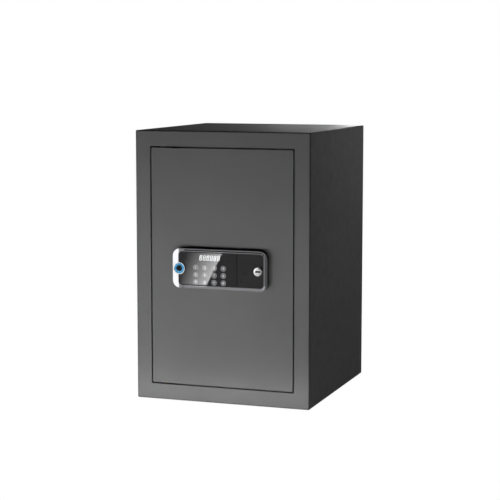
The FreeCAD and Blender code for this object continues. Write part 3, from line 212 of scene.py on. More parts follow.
def polished_metal(name, color, roughness, grain=400.0):
    metal = Shader(name, color, roughness, metallic=1.0)
    metal.mottle(scale=30.0, amount=0.04)
    metal.uneven_gloss(scale=120.0, amount=roughness * 0.3)
    metal.bump(metal.noise(scale=grain, detail=1.0), distance=0.004 * MM)
    return metal.material


def plated_metal(name, color, roughness):
    """Flawless bright plating, whose colour and gloss drift very slightly."""
    metal = Shader(name, color, roughness, metallic=1.0)
    metal.mottle(scale=15.0, amount=0.03)
    metal.uneven_gloss(scale=40.0, amount=roughness * 0.15)
    return metal.material


def brushed_metal(name, color, roughness, stretch):
    """Rolled or turned steel, with fine lines along one axis."""
    metal = Shader(name, color, roughness, metallic=1.0)
    metal.mottle(scale=900.0, amount=0.08, stretch=stretch)
    metal.uneven_gloss(scale=900.0, amount=0.07, stretch=stretch)
    metal.bump(metal.noise(scale=1500.0, stretch=stretch), distance=0.01 * MM)
    return metal.material


def black_gloss(name, color, roughness=0.015):
    """Black glass or gloss moulding, clean apart from the faintest haze."""
    gloss = Shader(name, color, roughness, Specular_IOR_Level=0.5)
    gloss.mottle(scale=40.0, amount=0.08)
    gloss.uneven_gloss(scale=25.0, amount=roughness * 0.2)
    return gloss.material


def moulded_plastic(name, color, roughness=0.5):
    """Plastic with the fine spark-eroded texture of its mould."""
    plastic = Shader(name, color, roughness, Specular_IOR_Level=0.4)
    plastic.mottle(scale=50.0, amount=0.08)
    plastic.uneven_gloss(scale=300.0, amount=0.06)
    plastic.bump(plastic.noise(scale=1800.0, detail=3.0), distance=0.03 * MM)
    return plastic.material


def carpet_fibre(name, color):
    """Needle felt: clumped fibres, with painted shade in the gaps between them and the clump tops lighter.
    """
    felt = Shader(name, color, 0.95, Sheen_Weight=0.25, Sheen_Roughness=0.6)
    clumps = felt.cells(scale=420.0)
    near = felt.ramp(clumps, 1.0, 0.0, from_low=0.1, from_high=0.7)
    # Painted shade: the gaps between clumps are darkened, and the clump tops lightened.
    felt.paint(felt.blend(near, shade(color, 0.45), shade(color, 1.5)))
    fibres = felt.noise(scale=1500.0, detail=4.0, rough=0.7)
    felt.bump(felt.math("ADD", fibres, felt.ramp(clumps, 1.0, 0.0)), distance=0.6 * MM)
    return felt.material


def circuit_board(name):
    """Green solder mask over traces that run along both axes."""
    board = Shader(name, (0.012, 0.10, 0.045), 0.35, Specular_IOR_Level=0.5)
    upright = board.noise(scale=260.0, detail=0.0, stretch=(1.0, 1.0, 0.08))
    level = board.noise(scale=260.0, detail=0.0, stretch=(0.08, 1.0, 1.0))
    trace_edge = 0.62
    traces = board.math("GREATER_THAN", board.math("MAXIMUM", upright, level), trace_edge)
    board.paint(board.blend(traces, (0.010, 0.085, 0.038), (0.022, 0.16, 0.07)))
    board.bump(traces, distance=0.03 * MM)
    return board.material


def lock_plug(name, color):
    """Chrome with painted shade inside the keyway, the darker the deeper it is."""
    plug = Shader(name, color, roughness=0.1, metallic=1.0)
    depth = plug.math("SUBTRACT", plug.along(1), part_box("key_plug")[0].y)
    shallow = plug.ramp(depth, 0.0, 1.0, from_low=0.2 * MM, from_high=1.2 * MM)
    deep = plug.ramp(depth, 0.0, 1.0, from_low=2 * MM, from_high=12 * MM)
    # Painted shade: the keyway's walls darken with depth, to near black at the bottom.
    keyway_shade = plug.blend(deep, shade(color, 0.16), (0.01, 0.01, 0.01))
    plug.paint(plug.blend(shallow, color, keyway_shade))
    plug.uneven_gloss(scale=120.0, amount=0.03)
    return plug.material


def glowing(name, color, strength):
    """A light guide that is lit from behind, a little unevenly."""
    lit = Shader(name, color, roughness=0.3)
    lit.mottle(scale=500.0, amount=0.12)
    lit.link(lit.coloured, lit.surface.inputs["Emission Color"])
    lit.surface.inputs["Emission Strength"].default_value = strength
    return lit.material


def printed_cells(name):
    """The sleeve of an AA cell: black, with a copper coloured band at one end."""
    black, copper, black_share = (0.02, 0.02, 0.024), (0.42, 0.16, 0.05), 0.7
    sleeve = Shader(name, black, roughness=0.3, Specular_IOR_Level=0.5)
    low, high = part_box("battery_cells")
    band_start = low.x + (high.x - low.x) * black_share
    sleeve.paint(sleeve.blend(sleeve.math("GREATER_THAN", sleeve.along(0), band_start), black, copper))
    sleeve.uneven_gloss(scale=200.0, amount=0.05)
    return sleeve.material


PAINT = painted_steel("paint", (0.055, 0.055, 0.055))
INNER_PAINT = painted_steel("inner_paint", (0.06, 0.06, 0.061), 0.5)
BEZEL = plated_metal("gunmetal_chrome", (0.62, 0.62, 0.64), 0.025)
CHROME = polished_metal("chrome", (0.86, 0.86, 0.85), 0.08)
PLUG = lock_plug("lock_plug", (0.8, 0.8, 0.79))
STEEL = brushed_metal("zinc_steel", (0.55, 0.55, 0.56), 0.3, (0.04, 1.0, 1.0))
UPRIGHT_STEEL = brushed_metal("pressed_steel", (0.5, 0.5, 0.51), 0.34, (1.0, 1.0, 0.04))
BRASS = brushed_metal("brass", (0.72, 0.53, 0.22), 0.25, (1.0, 0.05, 1.0))
CASTING = polished_metal("die_casting", (0.45, 0.45, 0.46), 0.45, 1200.0)
GLASS = black_gloss("black_glass", (0.012, 0.012, 0.0125))
FASCIA = black_gloss("black_gloss", (0.013, 0.013, 0.0135), 0.02)
BLACK = moulded_plastic("black_plastic", (0.014, 0.014, 0.015))
RED = moulded_plastic("red_plastic", (0.42, 0.012, 0.01), 0.3)
SENSOR = moulded_plastic("sensor_window", (0.005, 0.005, 0.006), 0.4)
LEAD = moulded_plastic("lead_cover", (0.03, 0.03, 0.03), 0.45)
FELT = carpet_fibre("felt", (0.012, 0.012, 0.012))
CARPET = carpet_fibre("carpet", (0.022, 0.022, 0.024))
BOARD = circuit_board("circuit_board")
BLUE = glowing("blue_light", (0.001, 0.15, 0.31), 0.0)
CELLS = printed_cells("cell_sleeve")

FINISHES = (
    (PAINT, "cabinet_wrap front_frame rear_panel door_plate strike_channel hinge_plates shelf_brackets"
            " shelf"),
    (INNER_PAINT, "door_casing inner_cover"),
    (BEZEL, "panel_bezel"),
    (CHROME, "lock_barrel sensor_bezel"),
    (PLUG, "key_plug"),
    (STEEL, "live_bolts bolt_rack hinge_side_dead_bar key_cam barrel_nut battery_contacts"
            " cover_screws board_screws gearbox_screws panel_screws cam_screw bolt_screws shoulder_screws"),
    (UPRIGHT_STEEL, "bolt_carriage bolt_guides hinge_blocks hinge_pins drive_motor output_shaft"
                    " carriage_spacers board_standoffs"),
    (BRASS, "thrust_washer drive_pinion"),
    (CASTING, "worm_gearbox"),
    (GLASS, "touch_glass"),
    (FASCIA, "fascia_end_plate"),
    (BLACK, "panel_housing battery_tray battery_lid limit_switches reset_switch display_module"
            " board_components key_light_guides"),
    (RED, "reset_button"),
    (SENSOR, "fingerprint_sensor"),
    (BLUE, "sensor_light_ring"),
    (LEAD, "panel_cable motor_lead battery_lead"),
    (FELT, "door_stops"),
    (BOARD, "touch_board control_board"),
    (CELLS, "battery_cells"),
)


def give(piece, material):
    piece.data.materials.clear()
    piece.data.materials.append(material)


for material, names in FINISHES:
    for name in names.split():
        give(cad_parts[name], material)


# ---------------------------------------------------------------- making new pieces


def piece_from(name, build, material, body):
    """Makes a mesh with bmesh, gives it its material and rides it on a body."""
    mesh = bpy.data.meshes.new(name)
    shape = bmesh.new()
    build(shape)
    bmesh.ops.recalc_face_normals(shape, faces=shape.faces)
    shape.to_mesh(mesh)
    shape.free()
    piece = bpy.data.objects.new(name, mesh)
    SCENE.collection.objects.link(piece)
    give(piece, material)
    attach(piece, body)
    return piece


def smooth_rounds(piece, degrees):
    """Smooths the faces that meet at less than an angle, and keeps the flat ones flat."""
    for polygon in piece.data.polygons:
        polygon.use_smooth = True
    piece.data.set_sharp_from_angle(angle=math.radians(degrees))
    piece.modifiers.new("flat faces stay flat", "WEIGHTED_NORMAL").keep_sharp = True


def raised(shape, outline, y_back, thickness):
    """A thin slab facing -Y, from the (x, z) points of its outline."""
    back = [shape.verts.new((x, y_back, z)) for x, z in outline]
    face = shape.faces.new(back)
    front = bmesh.ops.extrude_face_region(shape, geom=[face])["geom"]
    bmesh.ops.translate(
        shape, vec=(0, -thickness, 0), verts=[v for v in front if isinstance(v, bmesh.types.BMVert)]
    )


def join_rings(shape, rings):
    """Faces between each ring of points and the next, and between the last and the first."""
    count = len(rings[0])
    for first, second in zip(rings, rings[1:] + rings[:1]):
        for i in range(count):
            j = (i + 1) % count
            shape.faces.new((first[i], first[j], second[j], second[i]))


def circle(x, z, radius):
    steps = 40
    turns = [2 * math.pi * i / steps for i in range(steps)]
    return [(x + radius * math.cos(t), z + radius * math.sin(t)) for t in turns]


def raised_ring(shape, x, z, outer, inner, y_back, thickness):
    """A flat ring with a slightly crowned face."""
    shoulder = thickness * 0.6
    profile = ((outer, 0.0), (outer, shoulder), ((outer + inner) / 2, thickness),
               (inner, shoulder), (inner, 0.0))
    join_rings(shape, [[shape.verts.new((px, y_back - out, pz)) for px, pz in circle(x, z, radius)]
                       for radius, out in profile])


# ---------------------------------------------------------------- keys and display

# The keys are printed on the glass, and stand proud of it by about a tenth of a millimetre.
KEY_ROWS = ("1234", "5678", "90*#")
KEY_PITCH_X, KEY_PITCH_Z, KEY_RADIUS = 18.5 * MM, 13.8 * MM, 5.3 * MM
DISC_THICKNESS, RING_THICKNESS, LEGEND_THICKNESS = 0.06 * MM, 0.09 * MM, 0.04 * MM
LEGEND_HEIGHT, TYPE_SIZE_PER_HEIGHT = 4.6 * MM, 1.35
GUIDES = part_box("key_light_guides")
FIRST_KEY = Vector((GUIDES[0].x + KEY_RADIUS, GLASS_Y, GUIDES[1].z - KEY_RADIUS))
KEY_LINE = 0.6 * MM


def key_places():
    for row, legends in enumerate(KEY_ROWS):
        for column, legend in enumerate(legends):
            yield FIRST_KEY.x + column * KEY_PITCH_X, FIRST_KEY.z - row * KEY_PITCH_Z, legend


def key_discs(shape):
    for x, z, _ in key_places():
        raised(shape, circle(x, z, KEY_RADIUS - KEY_LINE), GLASS_Y, DISC_THICKNESS)


def key_rings(shape):
    for x, z, _ in key_places():
        raised_ring(shape, x, z, KEY_RADIUS, KEY_RADIUS - KEY_LINE, GLASS_Y, RING_THICKNESS)


def lettering(character, x, z, y_back):
    """One character from the built-in typeface as a mesh, centred on a point and facing -Y."""
    curve = bpy.data.curves.new("legend", "FONT")
    curve.body = character
    curve.size = LEGEND_HEIGHT * TYPE_SIZE_PER_HEIGHT
    curve.align_x = "CENTER"
    curve.extrude = LEGEND_THICKNESS
    text = bpy.data.objects.new("legend", curve)
    SCENE.collection.objects.link(text)
    bpy.context.view_layer.update()
    mesh = bpy.data.meshes.new_from_object(text.evaluated_get(bpy.context.evaluated_depsgraph_get()))
    bpy.data.objects.remove(text)
    bpy.data.curves.remove(curve)
    heights = [v.co.y for v in mesh.vertices]
    widths = [v.co.x for v in mesh.vertices]
    middle = Vector(((min(widths) + max(widths)) / 2, (min(heights) + max(heights)) / 2, 0))
    upright = Matrix.Rotation(math.pi / 2, 4, "X")
    mesh.transform(Matrix.Translation((x, y_back, z)) @ upright @ Matrix.Translation(-middle))
    return mesh


def key_digits(shape):
    for x, z, legend in key_places():
        mesh = lettering(legend, x, z, GLASS_Y - DISC_THICKNESS)
        shape.from_mesh(mesh)
        bpy.data.meshes.remove(mesh)


# Each segment's two ends, in half widths across and quarters of the height up from the digit's middle: the
# three level ones, then the upper pair and the lower pair.
SEGMENTS = (
    ((-1, 2), (1, 2)), ((-1, 0), (1, 0)), ((-1, -2), (1, -2)),
    ((-1, 0), (-1, 2)), ((1, 0), (1, 2)),
    ((-1, -2), (-1, 0)), ((1, -2), (1, 0)),
)
DIGITS_BELOW_MIDDLE = 0.7 * MM
DISPLAY = centre("display_module") - Vector((0, 0, DIGITS_BELOW_MIDDLE))
DIGIT_COUNT, DIGIT_PITCH, DIGIT_LEAN = 6, 7.1 * MM, math.tan(math.radians(10))
DIGIT_HALF_WIDTH, DIGIT_QUARTER = 1.95 * MM, 2.25 * MM
# Half a segment's thickness, and how far each end stops short of the corner.
SEGMENT_HALF, SEGMENT_GAP = 0.6 * MM, 0.21 * MM


def segment(shape, start, end, origin):
    """A bar with pointed ends, leaning to the right as the digits do."""
    a = Vector((start[0] * DIGIT_HALF_WIDTH, start[1] * DIGIT_QUARTER))
    b = Vector((end[0] * DIGIT_HALF_WIDTH, end[1] * DIGIT_QUARTER))
    along = (b - a).normalized()
    side = Vector((-along.y, along.x)) * SEGMENT_HALF
    a, b = a + along * SEGMENT_GAP, b - along * SEGMENT_GAP
    neck = along * SEGMENT_HALF
    outline = (a, a + neck - side, b - neck - side, b, b - neck + side, a + neck + side)
    leaning = [(origin.x + p.x + p.y * DIGIT_LEAN, origin.z + p.y) for p in outline]
    raised(shape, leaning, GLASS_Y, DISC_THICKNESS)


def display_digits(shape):
    for place in range(DIGIT_COUNT):
        origin = DISPLAY + Vector(((place - (DIGIT_COUNT - 1) / 2) * DIGIT_PITCH, 0, 0))
        for start, end in SEGMENTS:
            segment(shape, start, end, origin)


DISC_PRINT = black_gloss("key_field", (0.09, 0.09, 0.091), 0.03)
LEGEND_PRINT = glowing("legend_light", (0.36, 0.37, 0.38), 0.2)
RING_PRINT = glowing("key_outline", (0.13, 0.13, 0.135), 0.0)
DISPLAY_LIGHT = glowing("display_light", (0.6, 0.61, 0.62), 0.3)
piece_from("key_fields", key_discs, DISC_PRINT, "door")
piece_from("key_outlines", key_rings, RING_PRINT, "door")
piece_from("key_legends", key_digits, LEGEND_PRINT, "door")
piece_from("display_digits", display_digits, DISPLAY_LIGHT, "door")


# ---------------------------------------------------------------- carpets

CARPET_MESH, CARPET_SAG, EDGE_WANDER = 4 * MM, 0.35 * MM, 0.5 * MM
# How fast the pile's height and the cut edge drift, per metre.
PILE_DRIFT, EDGE_DRIFT = 90, 40
ANCHOR_SPACING, ANCHOR_ROW_GAP, ANCHOR_CUT = 220 * MM, 180 * MM, 12 * MM


def anchor_holes():
    """The middles of the four round cuts in the floor carpet, over the cabinet's anchor holes."""
    middle = (CABINET_LOW + CABINET_HIGH) / 2
    return [Vector((middle.x + side * ANCHOR_SPACING / 2, row * ANCHOR_ROW_GAP / 2))
            for side in (-1, 1) for row in (-1, 1)]


def carpet(name, node, body, holes, seed):
    """A felt sheet laid flat, with an uneven pile and a hand-cut edge, in place of the node's plain slab."""
    low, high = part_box(node)
    across, along = (round((high[i] - low[i]) / CARPET_MESH) for i in (0, 1))

    def drift(x, y, scale):
        return noise.noise(Vector((x * scale, y * scale, seed)))

    def build(shape):
        grid = []
        for i in range(across + 1):
            row = []
            for j in range(along + 1):
                x = low.x + (high.x - low.x) * i / across
                y = low.y + (high.y - low.y) * j / along
                row.append(shape.verts.new((x, y, high.z - CARPET_SAG * (1 + drift(x, y, PILE_DRIFT)))))
            grid.append(row)
        for i in range(across):
            for j in range(along):
                corners = [grid[i][j], grid[i + 1][j], grid[i + 1][j + 1], grid[i][j + 1]]
                middle = sum((v.co for v in corners), Vector()).xy / 4
                if all((middle - hole).length > ANCHOR_CUT for hole in holes):
                    shape.faces.new(corners)
        loose = [v for v in shape.verts if not v.link_faces]
        bmesh.ops.delete(shape, geom=loose, context="VERTS")
        for vertex in (v for v in shape.verts if v.is_boundary):
            near = [hole for hole in holes if (vertex.co.xy - hole).length < ANCHOR_CUT + 2 * CARPET_MESH]
            if near:
                vertex.co.xy = near[0] + (vertex.co.xy - near[0]).normalized() * ANCHOR_CUT
            else:
                inward = (centre(node) - vertex.co).xy.normalized()
                wander = EDGE_WANDER * (1 + drift(vertex.co.x, vertex.co.y, EDGE_DRIFT)) / 2
                vertex.co.xy += inward * wander
        top = list(shape.faces)
        bottom = bmesh.ops.extrude_face_region(shape, geom=top, use_keep_orig=True)["geom"]
        for vertex in (v for v in bottom if isinstance(v, bmesh.types.BMVert)):
            vertex.co.z = low.z

    piece = piece_from(name, build, CARPET, body)
    smooth_rounds(piece, degrees=50)
    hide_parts(node)


carpet("floor_felt", "floor_carpet", "cabinet", anchor_holes(), seed=3.0)
carpet("shelf_felt", "shelf_carpet", "lift_out_shelf", [], seed=8.0)


# ---------------------------------------------------------------- the lock panel's bezel

WINDOW_RADIUS, PANEL_RADIUS = 6 * MM, 15 * MM
# The bezel's section in millimetres: the distance in from its outer edge or out from the glass, then the
# height off the housing where it has its ridge and where it is plain.
OUTER_PART = ((0, 0, 0), (0, 4.0, 4.6), (0.12, 4.3, 4.9), (0.4, 4.4, 5.0))
RIDGE_PART = ((4.5, 4.4, 5.0), (2.3, 5.0, 5.0), (0.9, 5.0, 5.0), (0.75, 4.9, 4.9), (0.75, 0, 0))
# The ridge rises between these two distances from the middle of the cabinet.
RIDGE_START, RIDGE_FULL = -77 * MM, -70 * MM
CORNER_STEPS, SIDE_STEPS = 14, 60


def rounded_outline(low_x, high_x, low_z, high_z, radius):
    """Points round a rounded rectangle, always the same number, starting at its lower left."""
    corners = ((low_x, low_z, 180), (high_x, low_z, 270), (high_x, high_z, 0), (low_x, high_z, 90))
    arcs = []
    for x, z, start in corners:
        middle_x = x + radius if x == low_x else x - radius
        middle_z = z + radius if z == low_z else z - radius
        turns = [math.radians(start + 90 * i / CORNER_STEPS) for i in range(CORNER_STEPS + 1)]
        arcs.append([(middle_x + radius * math.cos(t), middle_z + radius * math.sin(t)) for t in turns])
    points = []
    for arc, following in zip(arcs, arcs[1:] + arcs[:1]):
        points += arc
        (x0, z0), (x1, z1) = arc[-1], following[0]
        points += [(x0 + (x1 - x0) * i / SIDE_STEPS, z0 + (z1 - z0) * i / SIDE_STEPS)
                   for i in range(1, SIDE_STEPS)]
    return points


def smooth_step(value, low, high):
    share = min(1.0, max(0.0, (value - low) / (high - low)))
    return share * share * (3 - 2 * share)


def panel_outline(inset):
    """The panel's outline, drawn in by some millimetres."""
    inset *= MM
    return rounded_outline(PANEL_LOW.x + inset, PANEL_HIGH.x - inset, PANEL_LOW.z + inset,
                           PANEL_HIGH.z - inset, PANEL_RADIUS - inset)


def window_outline(gap):
    """The glass's outline, drawn out by some millimetres."""
    gap *= MM
    return rounded_outline(GLASS_LOW.x - gap, FASCIA_HIGH.x + gap, GLASS_LOW.z - gap, GLASS_HIGH.z + gap,
                           WINDOW_RADIUS + gap)


def bezel_rings(shape):
    """A frame whose ridge runs round the window and fades out to the left, swept round the panel."""
    sections = [(panel_outline(inset), ridged, plain) for inset, ridged, plain in OUTER_PART]
    sections += [(window_outline(gap), ridged, plain) for gap, ridged, plain in RIDGE_PART]
    rings = []
    for outline, ridged, plain in sections:
        ring = []
        for x, z in outline:
            height = plain + (ridged - plain) * smooth_step(x, RIDGE_START, RIDGE_FULL)
            ring.append(shape.verts.new((x, PANEL_HIGH.y - height * MM, z)))
        rings.append(ring)
    join_rings(shape, rings)


bezel = piece_from("lock_panel_bezel", bezel_rings, BEZEL, "door")
smooth_rounds(bezel, degrees=10)
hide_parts("panel_bezel")


# ---------------------------------------------------------------- floor and studio lights


def stage_plane(name, corners, material):
    mesh = bpy.data.meshes.new(name)
    mesh.from_pydata(corners, [], [tuple(range(len(corners)))])
    plane = bpy.data.objects.new(name, mesh)
    SCENE.collection.objects.link(plane)
    mesh.materials.append(material)
    return plane


def lit_surface(name, strength, albedo=0.0):
    """A matt surface that also shines: the floor, the backdrop and the studio's cards."""
    lit = Shader(name, (albedo, albedo, albedo), roughness=1.0, Specular_IOR_Level=0.0)
    lit.surface.inputs["Emission Color"].default_value = (1.0, 1.0, 1.0, 1.0)
    lit.surface.inputs["Emission Strength"].default_value = strength
    return lit


def seen_only_by(plane, *rays):
    for ray in ("camera", "diffuse", "glossy", "transmission", "shadow"):
        setattr(plane, "visible_" + ray, ray in rays)


def level_square(reach, z):
    return [(-reach, -reach, z), (reach, -reach, z), (reach, reach, z), (-reach, reach, z)]


# One floor bounces light up at the safe, and a white one just under it is what the camera sees.
FLOOR_REACH, FLOOR_GLOW, FLOOR_ALBEDO = 12.0, 0.127, 0.9
FLOOR = lit_surface("floor_bounce", FLOOR_GLOW, FLOOR_ALBEDO).material
PALE_FLOOR = lit_surface("pale_floor", 1.0).material
seen_only_by(stage_plane("floor", level_square(FLOOR_REACH, 0), FLOOR), "diffuse", "shadow")
seen_only_by(stage_plane("pale_floor", level_square(FLOOR_REACH, -MM), PALE_FLOOR), "camera")

BACKDROP_REACH, BACKDROP_FOOT, BACKDROP_TOP = 11.0, -1, 8.0
BACKDROP = lit_surface("backdrop", 1.0).material
rim = level_square(BACKDROP_REACH, 0)
for side in range(4):
    (x1, y1, _), (x2, y2, _) = rim[side], rim[(side + 1) % 4]
    corners = [(x1, y1, BACKDROP_FOOT), (x2, y2, BACKDROP_FOOT),
               (x2, y2, BACKDROP_TOP), (x1, y1, BACKDROP_TOP)]
    seen_only_by(stage_plane("backdrop_" + str(side + 1), corners, BACKDROP), "camera")

world = bpy.data.worlds.new("studio")
world.use_nodes = True
world.node_tree.nodes["Background"].inputs["Color"].default_value = (0.0, 0.0, 0.0, 1.0)
SCENE.world = world


def only_for(lamp, names):
    """Light from this lamp or card falls on these pieces alone."""
    receivers = bpy.data.collections.new(lamp.name + "_receivers")
    for name in names:
        receivers.objects.link(bpy.data.objects[name])
    lamp.light_linking.receiver_collection = receivers


def hang(lamps):
    """Makes area lights, each (name, place, target, size, watts, whether gloss mirrors it, pieces lit)."""
    for name, place, target, size, watts, glossy, pieces in lamps:
        light = bpy.data.lights.new(name, "AREA")
        light.shape = "RECTANGLE"
        light.size, light.size_y = size
        light.energy = watts
        lamp = bpy.data.objects.new(name, light)
        lamp.location = place
        lamp.rotation_euler = (Vector(target) - Vector(place)).to_track_quat("-Z", "Y").to_euler()
        lamp.visible_camera = False
        lamp.visible_glossy = glossy
        SCENE.collection.objects.link(lamp)
        if pieces:
            only_for(lamp, pieces)


MATT, MIRRORED = False, True
EVERYTHING = ()
DOOR_FOOT, MIDDLE = (0.0, FRONT_Y, 0.15), (0.0, 0.0, 0.3)
TOP_Z = CABINET_HIGH.z
TOP, TOP_RIGHT = (0.0, 0.0, TOP_Z), (0.1, 0.0, TOP_Z)
OUTER_SHELL = ("cabinet_wrap", "rear_panel")
INSIDE = ("shelf", "shelf_felt", "floor_felt", "rear_panel", "shelf_brackets", "inner_cover", "battery_tray",
          "battery_lid", "battery_cells", "battery_contacts", "reset_button", "cover_screws", "live_bolts",
          "door_stops")

hang((
    # The key light is low and to the left, so the front is lightest at its lower left.
    ("key_left", (-0.45, -0.85, 0.03), DOOR_FOOT, (0.9, 0.3), 9.8, MATT, EVERYTHING),
    ("key_near", (-0.25, -0.60, 0.02), DOOR_FOOT, (0.8, 0.2), 1.8, MATT, EVERYTHING),
    ("key_middle", (0.0, -0.9, 0.03), DOOR_FOOT, (0.9, 0.3), 7.8, MATT, EVERYTHING),
    ("foot_strip", (-0.05, -0.24, 0.006), (-0.05, FRONT_Y, 0.02), (0.55, 0.01), 0.32, MATT, EVERYTHING),
    ("right_fill", (1.5, 0.9, 0.4), (0.17, 0.0, 0.3), (0.8, 0.8), 12.0, MATT, EVERYTHING),
    # The top is lightest at its far right corner.
    ("corner_glow", (0.30, 0.30, TOP_Z + 0.10), (0.15, 0.15, TOP_Z), (0.15, 0.15), 0.3, MATT, EVERYTHING),
    ("top_glow", (0.08, 0.09, TOP_Z + 0.2), (0.08, 0.09, TOP_Z), (0.15, 0.15), 0.4, MATT, EVERYTHING),
    ("edge_glow", (0.35, 0.0, TOP_Z + 0.13), (0.12, 0.0, TOP_Z), (0.1, 0.3), 0.2, MATT, EVERYTHING),
    ("top_sheen", (-0.28, 2.4, 0.7), TOP_RIGHT, (0.4, 0.6), 8.0, MIRRORED, EVERYTHING),
    ("top_sheen_wide", (-0.35, 2.4, 0.9), TOP_RIGHT, (0.8, 0.8), 1.1, MIRRORED, EVERYTHING),
    # The back, the left side and the top have their own soft light, which doesn't reach the front.
    ("back_fill", (-0.8, 2.4, 0.26), (0.0, 0.2, 0.26), (1.6, 0.45), 30.0, MATT, OUTER_SHELL),
    ("left_fill", (-2.4, 0.8, 0.26), (-0.175, 0.1, 0.26), (1.6, 0.45), 20.0, MATT, OUTER_SHELL),
    ("overhead", (0, 0, 2.2), TOP, (0.35, 0.35), 14.0, MATT, OUTER_SHELL),
    # What is inside the cabinet and behind the door is seen when the door is open.
    ("inside_fill", (0.15, -1.3, 0.75), MIDDLE, (0.8, 0.8), 10.0, MIRRORED, INSIDE),
))


# ---------------------------------------------------------------- camera

CAMERA_TARGET = Vector((0.0572, FRONT_Y, 0.2985))
CAMERA_AZIMUTH, CAMERA_ELEVATION, CAMERA_DISTANCE = math.radians(19.420), math.radians(6.9817), 2.8590
CAMERA_PLACE = CAMERA_TARGET + CAMERA_DISTANCE * Vector((
    math.sin(CAMERA_AZIMUTH) * math.cos(CAMERA_ELEVATION),
    -math.cos(CAMERA_AZIMUTH) * math.cos(CAMERA_ELEVATION),
    math.sin(CAMERA_ELEVATION),
))
lens = bpy.data.cameras.new("camera")
lens.lens = 109.636
lens.sensor_width = 36.0
camera = bpy.data.objects.new("camera", lens)
camera.location = CAMERA_PLACE
camera.rotation_euler = (CAMERA_TARGET - CAMERA_PLACE).to_track_quat("-Z", "Y").to_euler()
SCENE.collection.objects.link(camera)
SCENE.camera = camera
SCENE.view_settings.view_transform = "Standard"


# ---------------------------------------------------------------- what the panel mirrors

# One card stands in front of the door, where the flat panel mirrors it. It is white at the left, for the
# bezel, and has a window's slanted edge across the part that the glass mirrors.
CARD_Y, CARD_LEFT, CARD_RIGHT, CARD_FOOT, CARD_TOP = FRONT_Y - 1.0, -2.5, 0.1, -0.1, 0.6
WHITE_WIDTH = 0.25
# How bright the card is: its white side, the grey round the window, and what the glass mirrors right of the
# slanted edge.
WHITE_SIDE, BEZEL_GREY, GLASS_DIM = 1.6, 0.33, 0.1
# Left of that edge the brightness is BASE + DOWN * d + s * (ACROSS + BOTH * d + CURVE * s), and LEAST where
# that is less. d is the share of the way down the glass, and s that from its left end to the edge.
GLARE_LEAST = 0.15
GLARE_BASE, GLARE_DOWN, GLARE_ACROSS, GLARE_BOTH, GLARE_CURVE = -1.05, 1.49, 5.23, 1.34, 5.15
# Where on the glass the slanted edge is mirrored, as (x, z) near its top and near its bottom.
EDGE_TOP, EDGE_BOTTOM = (0.0069, 0.2928), (-0.0262, 0.2281)


def mirrored_on_card(x, z):
    """The point of the card that the camera sees mirrored at (x, z) of the glass."""
    image = Vector((CAMERA_PLACE.x, 2 * GLASS_Y - CAMERA_PLACE.y, CAMERA_PLACE.z))
    through = Vector((x, GLASS_Y, z)) - image
    return image + through * ((CARD_Y - image.y) / through.y)


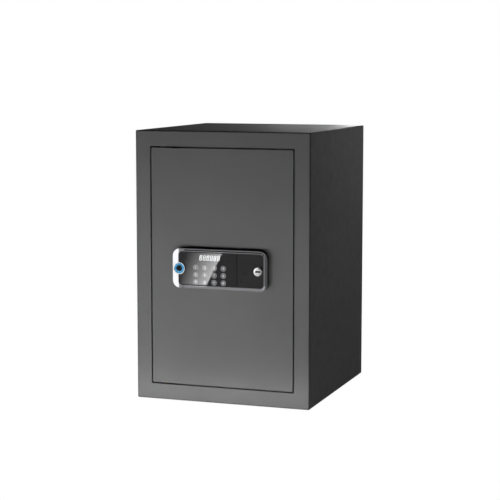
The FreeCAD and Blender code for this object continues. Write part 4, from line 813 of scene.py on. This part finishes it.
def panel_card():
    card = lit_surface("panel_card", 1.0)
    across, up = card.along(0), card.along(2)
    top, bottom = mirrored_on_card(*EDGE_TOP), mirrored_on_card(*EDGE_BOTTOM)
    left = mirrored_on_card(GLASS_LOW.x, centre("touch_glass").z).x
    lean = (top.x - bottom.x) / (top.z - bottom.z)
    edge = card.math("ADD", card.math("MULTIPLY", up, lean), bottom.x - bottom.z * lean)
    left_of_edge = card.math("LESS_THAN", across, edge)
    low_z = mirrored_on_card(0, GLASS_LOW.z + MM).z
    high_z = mirrored_on_card(0, GLASS_HIGH.z - MM).z
    middle, half = (low_z + high_z) / 2, (high_z - low_z) / 2
    within = card.math("LESS_THAN", card.math("ABSOLUTE", card.math("SUBTRACT", up, middle)), half)
    # The window's light grows towards its slanted edge and downwards.
    share = card.math("DIVIDE", card.math("SUBTRACT", across, left), card.math("SUBTRACT", edge, left))
    down = card.ramp(up, 1.0, 0.0, low_z, high_z)
    slope = card.math("ADD", card.math("MULTIPLY", down, GLARE_BOTH),
                      card.math("MULTIPLY", share, GLARE_CURVE))
    rise = card.math("MULTIPLY", share, card.math("ADD", slope, GLARE_ACROSS))
    level = card.math("ADD", card.math("MULTIPLY", down, GLARE_DOWN), GLARE_BASE)
    glare = card.math("MAXIMUM", card.math("ADD", rise, level), GLARE_LEAST)
    beside = card.math("LESS_THAN", across, left)

    def choose(share, value, other):
        return card.math("ADD", card.math("MULTIPLY", share, card.math("SUBTRACT", value, other)), other)

    glass = choose(left_of_edge, glare, GLASS_DIM)
    white_band = card.math("GREATER_THAN", across, left - WHITE_WIDTH)
    side = choose(white_band, WHITE_SIDE, BEZEL_GREY)
    pattern = choose(beside, side, choose(within, glass, BEZEL_GREY))
    card.link(pattern, card.surface.inputs["Emission Strength"])
    corners = [(CARD_LEFT, CARD_Y, CARD_FOOT), (CARD_RIGHT, CARD_Y, CARD_FOOT),
               (CARD_RIGHT, CARD_Y, CARD_TOP), (CARD_LEFT, CARD_Y, CARD_TOP)]
    plane = stage_plane("panel_card", corners, card.material)
    seen_only_by(plane, "glossy", "diffuse")
    return plane


FLAT_PANEL = ("touch_glass", "fascia_end_plate", "lock_panel_bezel", "key_fields", "key_outlines",
              "key_legends", "display_digits")
only_for(panel_card(), FLAT_PANEL + ("sensor_bezel",))

LOCK = centre("lock_barrel")
LOCK_HEAD = ("lock_barrel", "key_plug", "sensor_bezel")
BEZEL_ALONE = ("lock_panel_bezel",)
BRIGHT_METAL = LOCK_HEAD + BEZEL_ALONE

hang((
    ("lock_light", (-0.42, -1.0, 0.2), LOCK, (0.42, 0.7), 1.45, MIRRORED, LOCK_HEAD),
    ("lock_side", (1.1, -0.55, 0.35), LOCK, (0.9, 0.9), 0.8, MIRRORED, LOCK_HEAD),
    ("lock_low", (0.05, -1.3, -0.08), LOCK, (0.7, 0.6), 0.8, MIRRORED, LOCK_HEAD),
    ("metal_top", (-0.2, -0.8, 1.2), LOCK, (1.0, 0.5), 1.0, MIRRORED, BRIGHT_METAL),
    # The ridge's slopes mirror the pale floor below and the room to the right.
    ("metal_foot", (-0.30, -1.0, -0.45), LOCK, (2.0, 0.7), 1.6, MIRRORED, BEZEL_ALONE),
    ("metal_right", (0.40, -1.0, 0.30), LOCK, (0.4, 0.8), 0.25, MIRRORED, BEZEL_ALONE),
    # Seen from the left, and from above, the metal mirrors the floor in front and at the right.
    ("metal_floor", (1.0, -1.6, -0.9), LOCK, (2.5, 1.6), 3.2, MIRRORED, BRIGHT_METAL),
))
